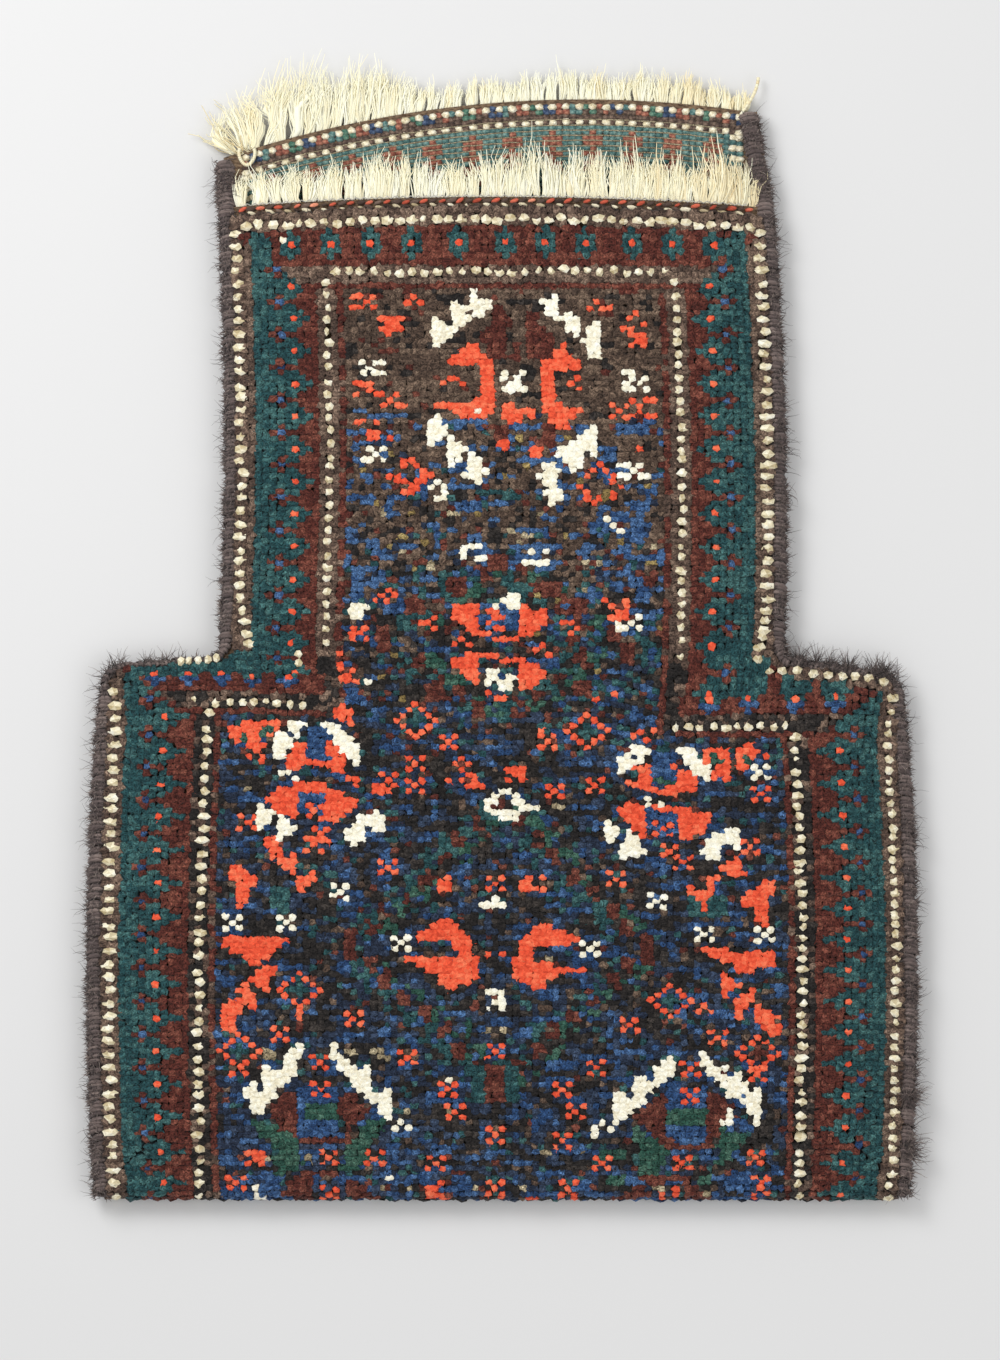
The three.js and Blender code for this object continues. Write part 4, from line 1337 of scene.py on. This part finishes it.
# Wrong side of the flap: the backs of the knots, paler than the pile, in rows down from the flap's end
flapRows = {
    "count": 18,
    "firstRow": 3.4 * mm,
    "pitch": 2.5 * mm,
    "columns": 37,
    "columnPitch": 3.2 * mm,
    "middleY": 490 * mm,
    "stray": (0.12 * mm, 0.1 * mm),
    "sideRoom": 5 * mm,
    "belowMouth": 12 * mm,
    "sunk": 0.1 * mm,
    "bump": (2.05 * mm, 1.6 * mm, 0.8 * mm),
    "bumpShoulder": 0.75,
    "swell": {"cream": 1.1},
    "scatter": 0.6,
    "tone": (0.76, 0.16),
    "blocks": ("navy", "teal", "rust", "green", "navy", "rust", "teal", "green", "rust"),
    "blockShare": 0.8,
    "flower": (0, 1, 1, 0, 1),
    "sideDots": (36, 37),
}
flapDyes = {
    "cream": [(196, 178, 136), (232, 220, 186), (250, 244, 222)],
    "brown": [(52, 42, 38), (86, 70, 62), (128, 108, 94)],
    "navy": [(34, 44, 66), (54, 70, 98), (92, 108, 134)],
    "teal": [(50, 82, 82), (82, 118, 116), (126, 154, 146)],
    "green": [(42, 78, 66), (70, 110, 94), (112, 144, 124)],
    "rust": [(96, 54, 46), (142, 84, 70), (180, 124, 102)],
}
flapWools = {}
for name, shades in flapDyes.items():
    flapWools[name] = dyedWool("flap_" + name, shades, streak=0.35, rootPaintedShade=0.8)
flapLevel = layers["backGround"] + layers["groundThickness"]


# Rows of dots and small blocks, then rust flowers on teal
def flapDye(j, c):
    odd = c % 2
    block = flapRows["blocks"][(c // 2) % len(flapRows["blocks"])]
    if j == 0:
        return "cream" if odd else block
    if j == 1:
        return block if rng.random() < flapRows["blockShare"] else "brown"
    if j == 3:
        return "cream" if odd else "brown"
    if j == 2:
        return "brown"
    if abs(c) in flapRows["sideDots"] and j % 2 == 0:
        return "cream"
    if j == 4:
        return "teal"
    half = flapRows["flower"][(j - 5) % len(flapRows["flower"])]
    return "rust" if abs((c % 6) - 3) <= half else "teal"


def growFlap():
    shape = tuftShape(sides=6, fibres=0, shoulder=flapRows["bumpShoulder"])
    found = {name: [] for name in flapDyes}
    for j in range(flapRows["count"]):
        for c in range(-flapRows["columns"], flapRows["columns"] + 1):
            found[flapDye(j, c)].append((c, j))
    middle = (edgeX(1, flapRows["middleY"]) + edgeX(-1, flapRows["middleY"])) / 2
    sideRoom = flapRows["sideRoom"]
    for name, spots in found.items():
        column, row = np.array(spots, float).T
        x = middle + column * flapRows["columnPitch"] + mixed(len(column), flapRows["stray"][0])
        y = flapEdge(x) - flapRows["firstRow"] - row * flapRows["pitch"]
        y = y + mixed(len(row), flapRows["stray"][1])
        keep = (x > edgeX(-1, y) + sideRoom) & (x < edgeX(1, y) - sideRoom)
        keep &= y > mouthEdge(x) - flapRows["belowMouth"]
        x = x[keep]
        y = y[keep]
        base = np.stack([x, y + outline["foldY"], np.full_like(x, flapLevel - flapRows["sunk"])], 1)
        ways = [np.tile(way, (len(x), 1)) for way in np.eye(3)]
        size = [part * flapRows["swell"].get(name, 1) for part in flapRows["bump"]]
        points = growTufts(shape, (base, *ways), size, 0, flapRows["scatter"])
        level, spread = flapRows["tone"]
        tones = level + mixed(len(x), spread)
        piece(f"flap_knots_{name}", shape, points, tones, flapWools[name])


growFlap()
print("stage: flap made")

# Overcast sides: goat-hair yarn wrapped round both selvedges, with loose hairs standing out
overcast = {
    "pitch": 2 * mm,
    "inside": 5 * mm,
    "outside": 3.2 * mm,
    "shoulderLess": {-1: 4.6 * mm, 1: 2.4 * mm},
    "shoulderThin": {-1: 0.75, 1: 0.4},
    "shoulderStart": (238 * mm, 248 * mm),
    "shoulderEnd": (260 * mm, 270 * mm),
    "height": 5 * mm,
    "flapHeight": 3.2 * mm,
    "flapDrop": 1.2 * mm,
    "flapStart": (472 * mm, 482 * mm),
    "yarn": 0.24,
    "yarnLength": 5 * mm,
    "slant": 1.6 * mm,
    "spread": 0.05,
    "shift": 0.3 * mm,
    "stray": 0.25 * mm,
    "tone": (0.4, 0.09),
    "hairPitch": 0.35 * mm,
    "hairRise": (-0.3, 2.4),
    "hairStray": (0.5, 0.8, 0.2),
    "hairLift": 0.5,
    "hairBow": 0.1,
    "hairToneSpread": 0.2,
    "clumpFloor": 0.2,
    "clumpWaves": (0.09, 2, 0.031),
    "lowest": 0.2 * mm,
    "shades": [(48, 41, 41), (98, 86, 84), (144, 128, 122), (194, 178, 166)],
}
# Each growth of hair: count, shortest and longest, radius and tone
hairs = {"count": 700, "lengths": (4 * mm, 9 * mm), "radius": 0.17 * mm, "tone": 0.2}
fuzz = {"count": 5600, "lengths": (1.5 * mm, 4 * mm), "radius": 0.31 * mm, "tone": 0.5}
rightShoulderHair = {"count": 480, "lengths": (4 * mm, 11 * mm), "radius": 0.2 * mm, "tone": 0.3}
leftShoulderHair = {"count": 150, "lengths": (3 * mm, 9 * mm), "radius": 0.2 * mm, "tone": 0.35}
frayedHair = {"count": 260, "lengths": (4 * mm, 11 * mm), "radius": 0.2 * mm, "tone": 0.5}
hairWool = dyedWool("goat_hair", overcast["shades"], streak=0.45, rootPaintedShade=0.7, grain=(260, 6, 1))


# Places along a selvedge, with the ways ahead and outward there
def pathRun(side, pitch):
    path = sidePaths[side]
    lengths = np.concatenate([[0], np.cumsum(np.linalg.norm(np.diff(path, axis=0), axis=1))])
    run = np.arange(pitch * 2, lengths[-1] - pitch, pitch)
    step = 1 * mm
    x, y = (np.interp(run, lengths, part) for part in path.T)
    dx, dy = (np.interp(run + step, lengths, part) - np.interp(run - step, lengths, part) for part in path.T)
    level = np.zeros_like(run)
    ahead = unit(np.stack([dx, dy, level], 1))
    outward = np.stack([ahead[:, 1], -ahead[:, 0], level], 1) * side
    return np.stack([x, y + outline["foldY"], level], 1), ahead, outward, y


def onShoulder(y):
    return smoothStep(y, *overcast["shoulderStart"]) * (1 - smoothStep(y, *overcast["shoulderEnd"]))


# How far the wraps reach over the cloth: less along the shoulders than up the sides
def wrapReach(side, y):
    inside = overcast["inside"] - overcast["shoulderLess"][side] * onShoulder(y)
    return (inside + overcast["outside"]) / 2, (overcast["outside"] - inside) / 2


# Half the wraps' height and the level of their middle: lower along the flap, which is one layer
def wrapHeight(y):
    onFlap = smoothStep(y, *overcast["flapStart"])
    tall = overcast["height"] + (overcast["flapHeight"] - overcast["height"]) * onFlap
    return tall, layers["foldMiddle"] - overcast["flapDrop"] * onFlap


def wrapSide(side, name, node):
    shape = loopShape(steps=8, sides=4, thickness=overcast["yarn"])
    place, ahead, outward, y = pathRun(side, overcast["pitch"])
    count = len(place)
    tall, level = wrapHeight(y)
    tall = tall * (1 + mixed(count, overcast["spread"]))
    reach, shift = wrapReach(side, y)
    shift = shift + mixed(count, overcast["shift"])
    proto = shape["points"][None, :, :]
    reach = reach * (1 + mixed(count, overcast["spread"]))
    px = proto[:, :, 0] * reach[:, None] + shift[:, None]
    pz = proto[:, :, 1] * tall[:, None]
    py = proto[:, :, 2] * overcast["yarnLength"] + proto[:, :, 1] * overcast["slant"]
    py = py + mixed(count, overcast["stray"])[:, None]
    points = place[:, None, :] + outward[:, None, :] * px[:, :, None] + ahead[:, None, :] * py[:, :, None]
    points[:, :, 2] += pz + level[:, None]
    tone, spread = overcast["tone"]
    made = piece(name, shape, points, tone + mixed(count, spread), hairWool)
    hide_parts(node)
    return made


# Hairs in clumps along a stretch of a selvedge
def growHairs(side, name, growth, shape, span=(0, 600), clump=1):
    count = growth["count"]
    place, ahead, outward, y = pathRun(side, overcast["hairPitch"])
    allowed = np.nonzero((y > span[0] * mm) & (y < span[1] * mm))[0]
    often, wander, wanderOften = overcast["clumpWaves"]
    clumps = np.sin(allowed * often + wander * np.sin(allowed * wanderOften)) ** 2
    clumps = (overcast["clumpFloor"] + clumps) ** clump
    clumps *= 1 - overcast["shoulderThin"][side] * onShoulder(y[allowed])
    pick = rng.choice(allowed, count, p=clumps / clumps.sum())
    place, ahead, outward, y = place[pick], ahead[pick], outward[pick], y[pick]
    rise = rng.uniform(*overcast["hairRise"], count)
    tall, level = wrapHeight(y)
    reach, shift = wrapReach(side, y)
    root = place + outward * (reach * np.cos(rise) + shift)[:, None]
    root[:, 2] = level + tall * np.sin(rise)
    strayOut, strayAhead, strayUp = overcast["hairStray"]
    way = outward * (np.cos(rise) + mixed(count, strayOut))[:, None]
    way = way + ahead * mixed(count, strayAhead)[:, None]
    way[:, 2] += overcast["hairLift"] * np.sin(rise) + mixed(count, strayUp)
    way = unit(way) * rng.uniform(*growth["lengths"], count)[:, None]
    bow = rng.normal(0, overcast["hairBow"], (count, 3)) * np.linalg.norm(way, axis=1)[:, None]
    points = growStrands(shape, root, way, bow, np.full(count, growth["radius"]))
    keepAbove(points, overcast["lowest"])
    tones = growth["tone"] + mixed(count, overcast["hairToneSpread"])
    piece(name, shape, points, tones, hairWool)


leftWraps = wrapSide(-1, "left_wraps", "left_overcasting")
rightWraps = wrapSide(1, "right_wraps", "right_overcasting")
longHair = strandShape(sides=3, cuts=2, tip=0.2)
shortHair = strandShape(sides=3, cuts=0, tip=0.1)
for side, label in ((-1, "left"), (1, "right")):
    growHairs(side, label + "_hairs", hairs, longHair)
    growHairs(side, label + "_fuzz", fuzz, shortHair)
growHairs(1, "right_shoulder_hair", rightShoulderHair, longHair, span=(246, 259), clump=5)
growHairs(-1, "left_shoulder_hair", leftShoulderHair, longHair, span=(244, 257), clump=4)
growHairs(1, "right_frayed_hair", frayedHair, longHair, span=(14, 56), clump=2)
print("stage: overcasting made")

# Twined rows at the mouth and the flap's end, two rows of slanting stitches
twining = {
    "pitch": 4.3 * mm,
    "stitch": (2.3 * mm, 1 * mm, 0.9 * mm),
    "firstRow": 1.7 * mm,
    "rowGap": 2.2 * mm,
    "slant": 0.3,
    "slantSpread": 0.12,
    "stray": (0.25 * mm, 0.15 * mm, 0.12 * mm),
    "swellSpread": 0.16,
    "tone": (0.45, 0.2),
    "frontY": 474 * mm,
    "frontInset": 6 * mm,
    "frontRise": 1.1 * mm,
    "backY": 495 * mm,
    "backInset": 7 * mm,
    "backLevel": 3.5 * mm,
}
twinedDyes = {
    "red": [(150, 62, 44), (208, 98, 74), (238, 158, 126)],
    "cream": [(176, 158, 122), (230, 218, 186), (250, 244, 222)],
    "dark": [(48, 38, 34), (84, 68, 60), (128, 108, 96)],
}
twinedWools = {}
for name, shades in twinedDyes.items():
    twinedWools[name] = dyedWool("twined_" + name, shades, streak=0.35, rootPaintedShade=0.7)


def twine(name, edge, y0, level, inset, node):
    shape = stitchShape()
    proto = shape["points"][None, :, :]
    left = edgeX(-1, y0) + inset
    right = edgeX(1, y0) - inset
    count = int((right - left) / twining["pitch"])
    found = {dye: [] for dye in twinedDyes}
    for line, bright in ((0, "red"), (1, "cream")):
        for number in range(count):
            odd = (number + line) % 2
            found["dark" if odd else bright].append((left + (number + 0.5) * (right - left) / count, line))
    made = []
    strayX, strayY, strayZ = twining["stray"]
    for dye, spots in found.items():
        x, line = np.array(spots).T
        total = len(x)
        x = x + mixed(total, strayX)
        y = edge(x) - twining["firstRow"] - line * twining["rowGap"] + mixed(total, strayY)
        height = level(x, y) + mixed(total, strayZ)
        slant = np.where(line > 0, -1, 1) * twining["slant"]
        turn = (slant + mixed(total, twining["slantSpread"]))[:, None]
        swell = (1 + mixed(total, twining["swellSpread"]))[:, None]
        sx = proto[:, :, 0] * twining["stitch"][0] * swell
        sy = proto[:, :, 1] * twining["stitch"][1] * swell
        px = sx * np.cos(turn) - sy * np.sin(turn)
        py = sx * np.sin(turn) + sy * np.cos(turn)
        pz = proto[:, :, 2] * twining["stitch"][2]
        points = np.stack([px + x[:, None], py + y[:, None] + outline["foldY"], pz + height[:, None]], 2)
        tones = twining["tone"][0] + mixed(total, twining["tone"][1])
        made.append(piece(f"{name}_{dye}", shape, points, tones, twinedWools[dye]))
    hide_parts(node)
    return made


def frontTwineLevel(x, y):
    return frontLevel(x, y) + twining["frontRise"]


def backTwineLevel(x, y):
    return np.full_like(x, twining["backLevel"])


frontTwine = twine(
    "front_twining", mouthEdge, twining["frontY"], frontTwineLevel, twining["frontInset"], "front_twining")
backTwine = twine(
    "back_twining", flapEdge, twining["backY"], backTwineLevel, twining["backInset"], "back_twining")
print("stage: twining made")

# Fringes: cut warp ends in narrow bundles round a core, long and tangled at the flap's left end
fringe = {
    "pitch": 3.2 * mm,
    "inset": 5 * mm,
    "rootDown": 1.5 * mm,
    "rootSunk": 1.1 * mm,
    "bundleStray": 0.25 * mm,
    "bundleShift": 0.3 * mm,
    "bundleSway": 0.7 * mm,
    "bundleTall": 0.14,
    "bundleTone": 0.08,
    "bundleBow": 0.055,
    "bundleCurl": 0.05,
    "tangle": (70 * mm, 105 * mm),
    "tangleCurl": 1.6,
    "strands": 24,
    "radius": 0.46 * mm,
    "radiusSpread": 0.15,
    "flatness": 0.25,
    "stray": (0.55 * mm, 0.3 * mm),
    "reachStray": (0.11, 0.13, 0.4 * mm),
    "bow": 1 * mm,
    "bowStray": (0.04, 0.3 * mm),
    "curlStray": 0.035,
    "wisps": (0.12, 1.25),
    "coreRadius": 1.85 * mm,
    "coreFlatness": 0.4,
    "coreGirth": ((0, 0.25, 0.65, 1), (0.72, 1, 0.95, 0.45)),
    "coreDrop": 0.7 * mm,
    "coreShort": 0.15,
    "coreLoose": 0.2,
    "lowest": 0.4 * mm,
    "tone": (0.7, 0.1),
    "shadeOnRight": (0.24, 20 * mm, 110 * mm),
    "frontY": 476 * mm,
    "frontLength": ((-120, -60, 0, 60, 120), (14, 15.5, 16.5, 18.5, 18)),
    "frontLean": ((0, 1), (0, 0)),
    "frontFall": 3.2 * mm,
    "backY": 498 * mm,
    "backLength": (
        (-128, -110, -97, -73, -62, -49, -36, -10, 0, 30, 47, 72, 95, 115),
        (20.5, 28, 27, 22, 21, 15, 11, 9.8, 10.2, 12, 11.5, 12, 12, 8.5),
    ),
    "backLean": ((-128, -118, -104, -73, 0, 115), (-9, -2, 3, 2, 0, 1)),
    "backFall": 2.6 * mm,
    "shades": [(226, 200, 148), (255, 242, 202), (255, 251, 222), (255, 255, 242)],
}
warpWool = dyedWool("warp_wool", fringe["shades"], streak=0.08, rootPaintedShade=0.92, grain=(260, 3, 1))


def coreShape():
    shape = strandShape(sides=6, cuts=4, tip=1)
    shape["points"][:, :2] *= np.interp(shape["points"][:, 2], *fringe["coreGirth"])[:, None]
    return shape


def growFringe(name, edge, y0, lengths, leans, rootLevel, fall, node):
    left = edgeX(-1, y0) + fringe["inset"]
    right = edgeX(1, y0) - fringe["inset"]
    bundles = int((right - left) / fringe["pitch"])
    order = np.arange(bundles)
    middle = left + (order + 0.5) * (right - left) / bundles + mixed(bundles, fringe["bundleStray"])
    middle += fringe["bundleShift"] * np.where(order % 2, -1, 1)
    tangled = smoothStep(-middle, *fringe["tangle"])
    sway = mixed(bundles, fringe["bundleSway"]) + np.interp(middle / mm, *leans) * mm
    tall = np.interp(middle / mm, *lengths) * mm * (1 + mixed(bundles, fringe["bundleTall"]))
    shade = mixed(bundles, fringe["bundleTone"])
    lockBow = mixed(bundles, fringe["bundleBow"]) * (1 + tangled)
    lockCurl = mixed(bundles, fringe["bundleCurl"]) * (1 + fringe["tangleCurl"] * tangled)
    strayX, strayZ = fringe["stray"]
    reachX, reachY, reachZ = fringe["reachStray"]
    bowX, bowZ = fringe["bowStray"]
    wispShare, wispLonger = fringe["wisps"]
    darker, start, end = fringe["shadeOnRight"]
    tone, toneSpread = fringe["tone"]
    made = []
    for core in (True, False):
        shape = coreShape() if core else strandShape(sides=3, cuts=4, tip=0.25)
        strands = 1 if core else fringe["strands"]
        radius = fringe["coreRadius"] if core else fringe["radius"]
        flat = fringe["coreFlatness"] if core else fringe["flatness"]
        loose = fringe["coreLoose"] if core else 1
        drop = fringe["coreDrop"] if core else 0
        short = fringe["coreShort"] if core else 0
        total = bundles * strands
        x = np.repeat(middle, strands) + mixed(total, strayX * loose)
        wisp = np.where(rng.random(total) < wispShare * loose, wispLonger, 1)
        level = rootLevel(x) - drop + mixed(total, strayZ)
        root = np.stack([x, edge(x) - fringe["rootDown"] + outline["foldY"], level], 1)
        long = np.repeat(tall, strands)
        reach = np.stack([
            np.repeat(sway, strands) + mixed(total, reachX) * long * loose,
            long * wisp * (1 - short + mixed(total, reachY) * loose),
            -np.full(total, fall) + mixed(total, reachZ),
        ], 1)
        sideways = (np.repeat(lockBow, strands) + mixed(total, bowX * loose)) * long
        bow = np.stack([sideways, np.zeros(total), fringe["bow"] + mixed(total, bowZ) * loose], 1)
        curl = (np.repeat(lockCurl, strands) + mixed(total, fringe["curlStray"] * loose)) * long
        thick = radius * (1 + mixed(total, fringe["radiusSpread"]))
        points = growStrands(shape, root, reach, bow, thick, flat, curl)
        keepAbove(points, fringe["lowest"])
        tones = tone + np.repeat(shade, strands) + mixed(total, toneSpread)
        tones -= darker * smoothStep(x, start, end)
        label = "cores" if core else "ends"
        made.append(piece(f"{name}_{label}", shape, points, tones, warpWool, core))
    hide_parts(node)
    return made


def frontRoot(x):
    return frontLevel(x, mouthEdge(x)) - fringe["rootSunk"]


def backRoot(x):
    return np.full_like(x, layers["backGround"] + fringe["rootSunk"])


frontFringe = growFringe(
    "front_warp", mouthEdge, fringe["frontY"], fringe["frontLength"], fringe["frontLean"],
    frontRoot, fringe["frontFall"], "front_fringe")
backFringe = growFringe(
    "back_warp", flapEdge, fringe["backY"], fringe["backLength"], fringe["backLean"],
    backRoot, fringe["backFall"], "back_fringe")

# Stray warp ends at the flap's left corner
strays = {
    "count": 26,
    "span": (-127 * mm, 9 * mm),
    "rootDown": 1 * mm,
    "level": (7 * mm, 0.5 * mm),
    "fall": (4 * mm, 1 * mm),
    "degrees": (100, 172),
    "lengths": (12 * mm, 30 * mm),
    "bow": 1 * mm,
    "bowStray": (1.4 * mm, 2 * mm, 0.6 * mm),
    "curl": 2 * mm,
    "radius": 0.4 * mm,
    "tone": (0.45, 0.15),
}


def growStrays():
    shape = strandShape(sides=3, cuts=4, tip=0.6)
    count = strays["count"]
    start, wide = strays["span"]
    middle, levelStray = strays["level"]
    fall, fallStray = strays["fall"]
    bowX, bowY, bowZ = strays["bowStray"]
    tone, toneSpread = strays["tone"]
    x = start + rng.uniform(0, wide, count)
    level = middle + mixed(count, levelStray)
    root = np.stack([x, flapEdge(x) - strays["rootDown"] + outline["foldY"], level], 1)
    turn = np.radians(rng.uniform(*strays["degrees"], count))
    long = rng.uniform(*strays["lengths"], count)
    reach = np.stack([long * np.cos(turn), long * np.sin(turn), -fall + mixed(count, fallStray)], 1)
    bow = np.stack([mixed(count, bowX), mixed(count, bowY), strays["bow"] + mixed(count, bowZ)], 1)
    thick = np.full(count, strays["radius"])
    points = growStrands(shape, root, reach, bow, thick, curl=mixed(count, strays["curl"]))
    keepAbove(points, fringe["lowest"])
    piece("warp_strays", shape, points, tone + mixed(count, toneSpread), warpWool)


growStrays()
print("stage: fringes made")

# Fine weft lines on the flap's wrong side, the sewing thread at the foot of the front fringe,
# a loop of warp at the flap's left corner and a lock at its right
wefts = {
    "down": (9.6, 12.3, 14.7, 17.2, 19.7, 22.2, 24.7, 27.2),
    "span": (-119 * mm, 106 * mm, 56),
    "proud": 0.5 * mm,
    "stray": 0.12 * mm,
    "radius": 0.34 * mm,
    "tone": 0.7,
}
thread = {
    "span": (-124 * mm, 117 * mm, 130),
    "above": 0.4 * mm,
    "zigzag": 0.5 * mm,
    "proud": 1.2 * mm,
    "stray": 0.15 * mm,
    "radius": 0.26 * mm,
    "tone": 0.5,
    "shades": [(150, 146, 138), (196, 192, 182), (226, 222, 212)],
}
warpLoop = {
    "middle": (-122.3 * mm, 501.5 * mm),
    "half": (3.8 * mm, 5 * mm),
    "turns": (0.15, 0.85, 22),
    "pinch": 0.2,
    "level": 9 * mm,
    "radius": 0.85 * mm,
    "tone": 0.45,
}
warpLock = {
    "x": 114.5 * mm,
    "rootDown": 2 * mm,
    "steps": 12,
    "sway": 8.5 * mm,
    "turn": 1.5,
    "long": 18 * mm,
    "level": 8 * mm,
    "fall": 4 * mm,
    "radius": 0.8 * mm,
    "tone": 0.4,
}
threadWool = dyedWool("sewing_thread", thread["shades"], streak=0.1, rootPaintedShade=0.9, grain=(260, 3, 1))
lineOverlap = 1.06
lineToneSpread = 0.12


def layLine(name, x, y, level, kind, material):
    shape = strandShape(sides=4, cuts=0, tip=1)
    places = np.stack([x, y + outline["foldY"], level], 1)
    reach = np.diff(places, axis=0) * lineOverlap
    thick = np.full(len(reach), kind["radius"])
    points = growStrands(shape, places[:-1], reach, np.zeros_like(reach), thick)
    piece(name, shape, points, kind["tone"] + mixed(len(reach), lineToneSpread), material)


def layWefts():
    for number, down in enumerate(wefts["down"]):
        x = np.linspace(*wefts["span"])
        y = flapEdge(x) - down * mm + mixed(len(x), wefts["stray"])
        level = flapLevel + wefts["proud"] + mixed(len(x), wefts["stray"])
        layLine(f"flap_weft_{number}", x, y, level, wefts, woolOf["fawn"])


def layThread():
    x = np.linspace(*thread["span"])
    y = mouthEdge(x) + thread["above"] + thread["zigzag"] * np.where(np.arange(len(x)) % 2, 1, -1)
    level = frontLevel(x, mouthEdge(x)) + thread["proud"] + mixed(len(x), thread["stray"])
    layLine("sewing_thread", x, y, level, thread, threadWool)


def layLock():
    share = np.linspace(0, 1, warpLock["steps"])
    x = warpLock["x"] + warpLock["sway"] * np.sin(share * warpLock["turn"])
    y = flapEdge(warpLock["x"]) - warpLock["rootDown"] + warpLock["long"] * share
    level = warpLock["level"] - warpLock["fall"] * share
    layLine("warp_lock", x, y, level, warpLock, warpWool)


def layLoop():
    turn = np.linspace(*warpLoop["turns"]) * 2 * math.pi
    x = warpLoop["middle"][0] + warpLoop["half"][0] * np.sin(turn) * (1 + warpLoop["pinch"] * np.cos(turn))
    y = warpLoop["middle"][1] + warpLoop["half"][1] * np.cos(turn)
    level = np.full_like(x, warpLoop["level"])
    layLine("warp_loop", x, y, level, warpLoop, warpWool)


layWefts()
layThread()
layLock()
layLoop()
print("stage: threads made")

# Pale floor, soft daylight from all round with a little more from the upper left
stage = {
    "floorSize": 6.0,
    "floorDrop": 0.2 * mm,
    "floorShade": (226, 226, 226),
    "skyStrength": 0.6,
    "keyLamp": ((-0.9, 0.9, 1.3), 0.8, 17),
    "fillLamp": ((1.1, -0.4, 1.4), 1.2, 6),
    "cameraHeight": 8.0,
    "cameraX": -0.96 * mm,
    "cameraY": -20.8 * mm,
    "frameHeight": 652.8 * mm,
    "sensor": 36.0,
}


def layFloor():
    bm = bmesh.new()
    bmesh.ops.create_grid(bm, x_segments=1, y_segments=1, size=stage["floorSize"] / 2)
    mesh = bpy.data.meshes.new("floor")
    bm.to_mesh(mesh)
    bm.free()
    finish = {"Base Color": daylight(stage["floorShade"]), "Roughness": 0.9, "Specular IOR Level": 0.1}
    mesh.materials.append(newMaterial("floor_paint", finish)[0])
    floor = addObject("floor", mesh)
    floor.location.z = -stage["floorDrop"]


def addLamp(name, place, size, watts):
    data = bpy.data.lights.new(name, "AREA")
    data.size = size
    data.energy = watts
    lamp = addObject(name, data)
    lamp.location = place
    lamp.rotation_euler = (-lamp.location).to_track_quat("-Z", "Y").to_euler()


layFloor()
world = bpy.data.worlds.new("sky")
world.use_nodes = True
setInputs(world.node_tree.nodes["Background"], {"Color": (1, 1, 1, 1), "Strength": stage["skyStrength"]})
scene.world = world
addLamp("key_lamp", *stage["keyLamp"])
addLamp("fill_lamp", *stage["fillLamp"])

camera = addObject("camera", bpy.data.cameras.new("camera"))
camera.location = (stage["cameraX"], stage["cameraY"], stage["cameraHeight"])
camera.data.sensor_fit = "VERTICAL"
camera.data.sensor_height = stage["sensor"]
camera.data.lens = stage["sensor"] * stage["cameraHeight"] / stage["frameHeight"]
scene.camera = camera
scene.view_settings.view_transform = "Standard"
print("stage: camera and light set")
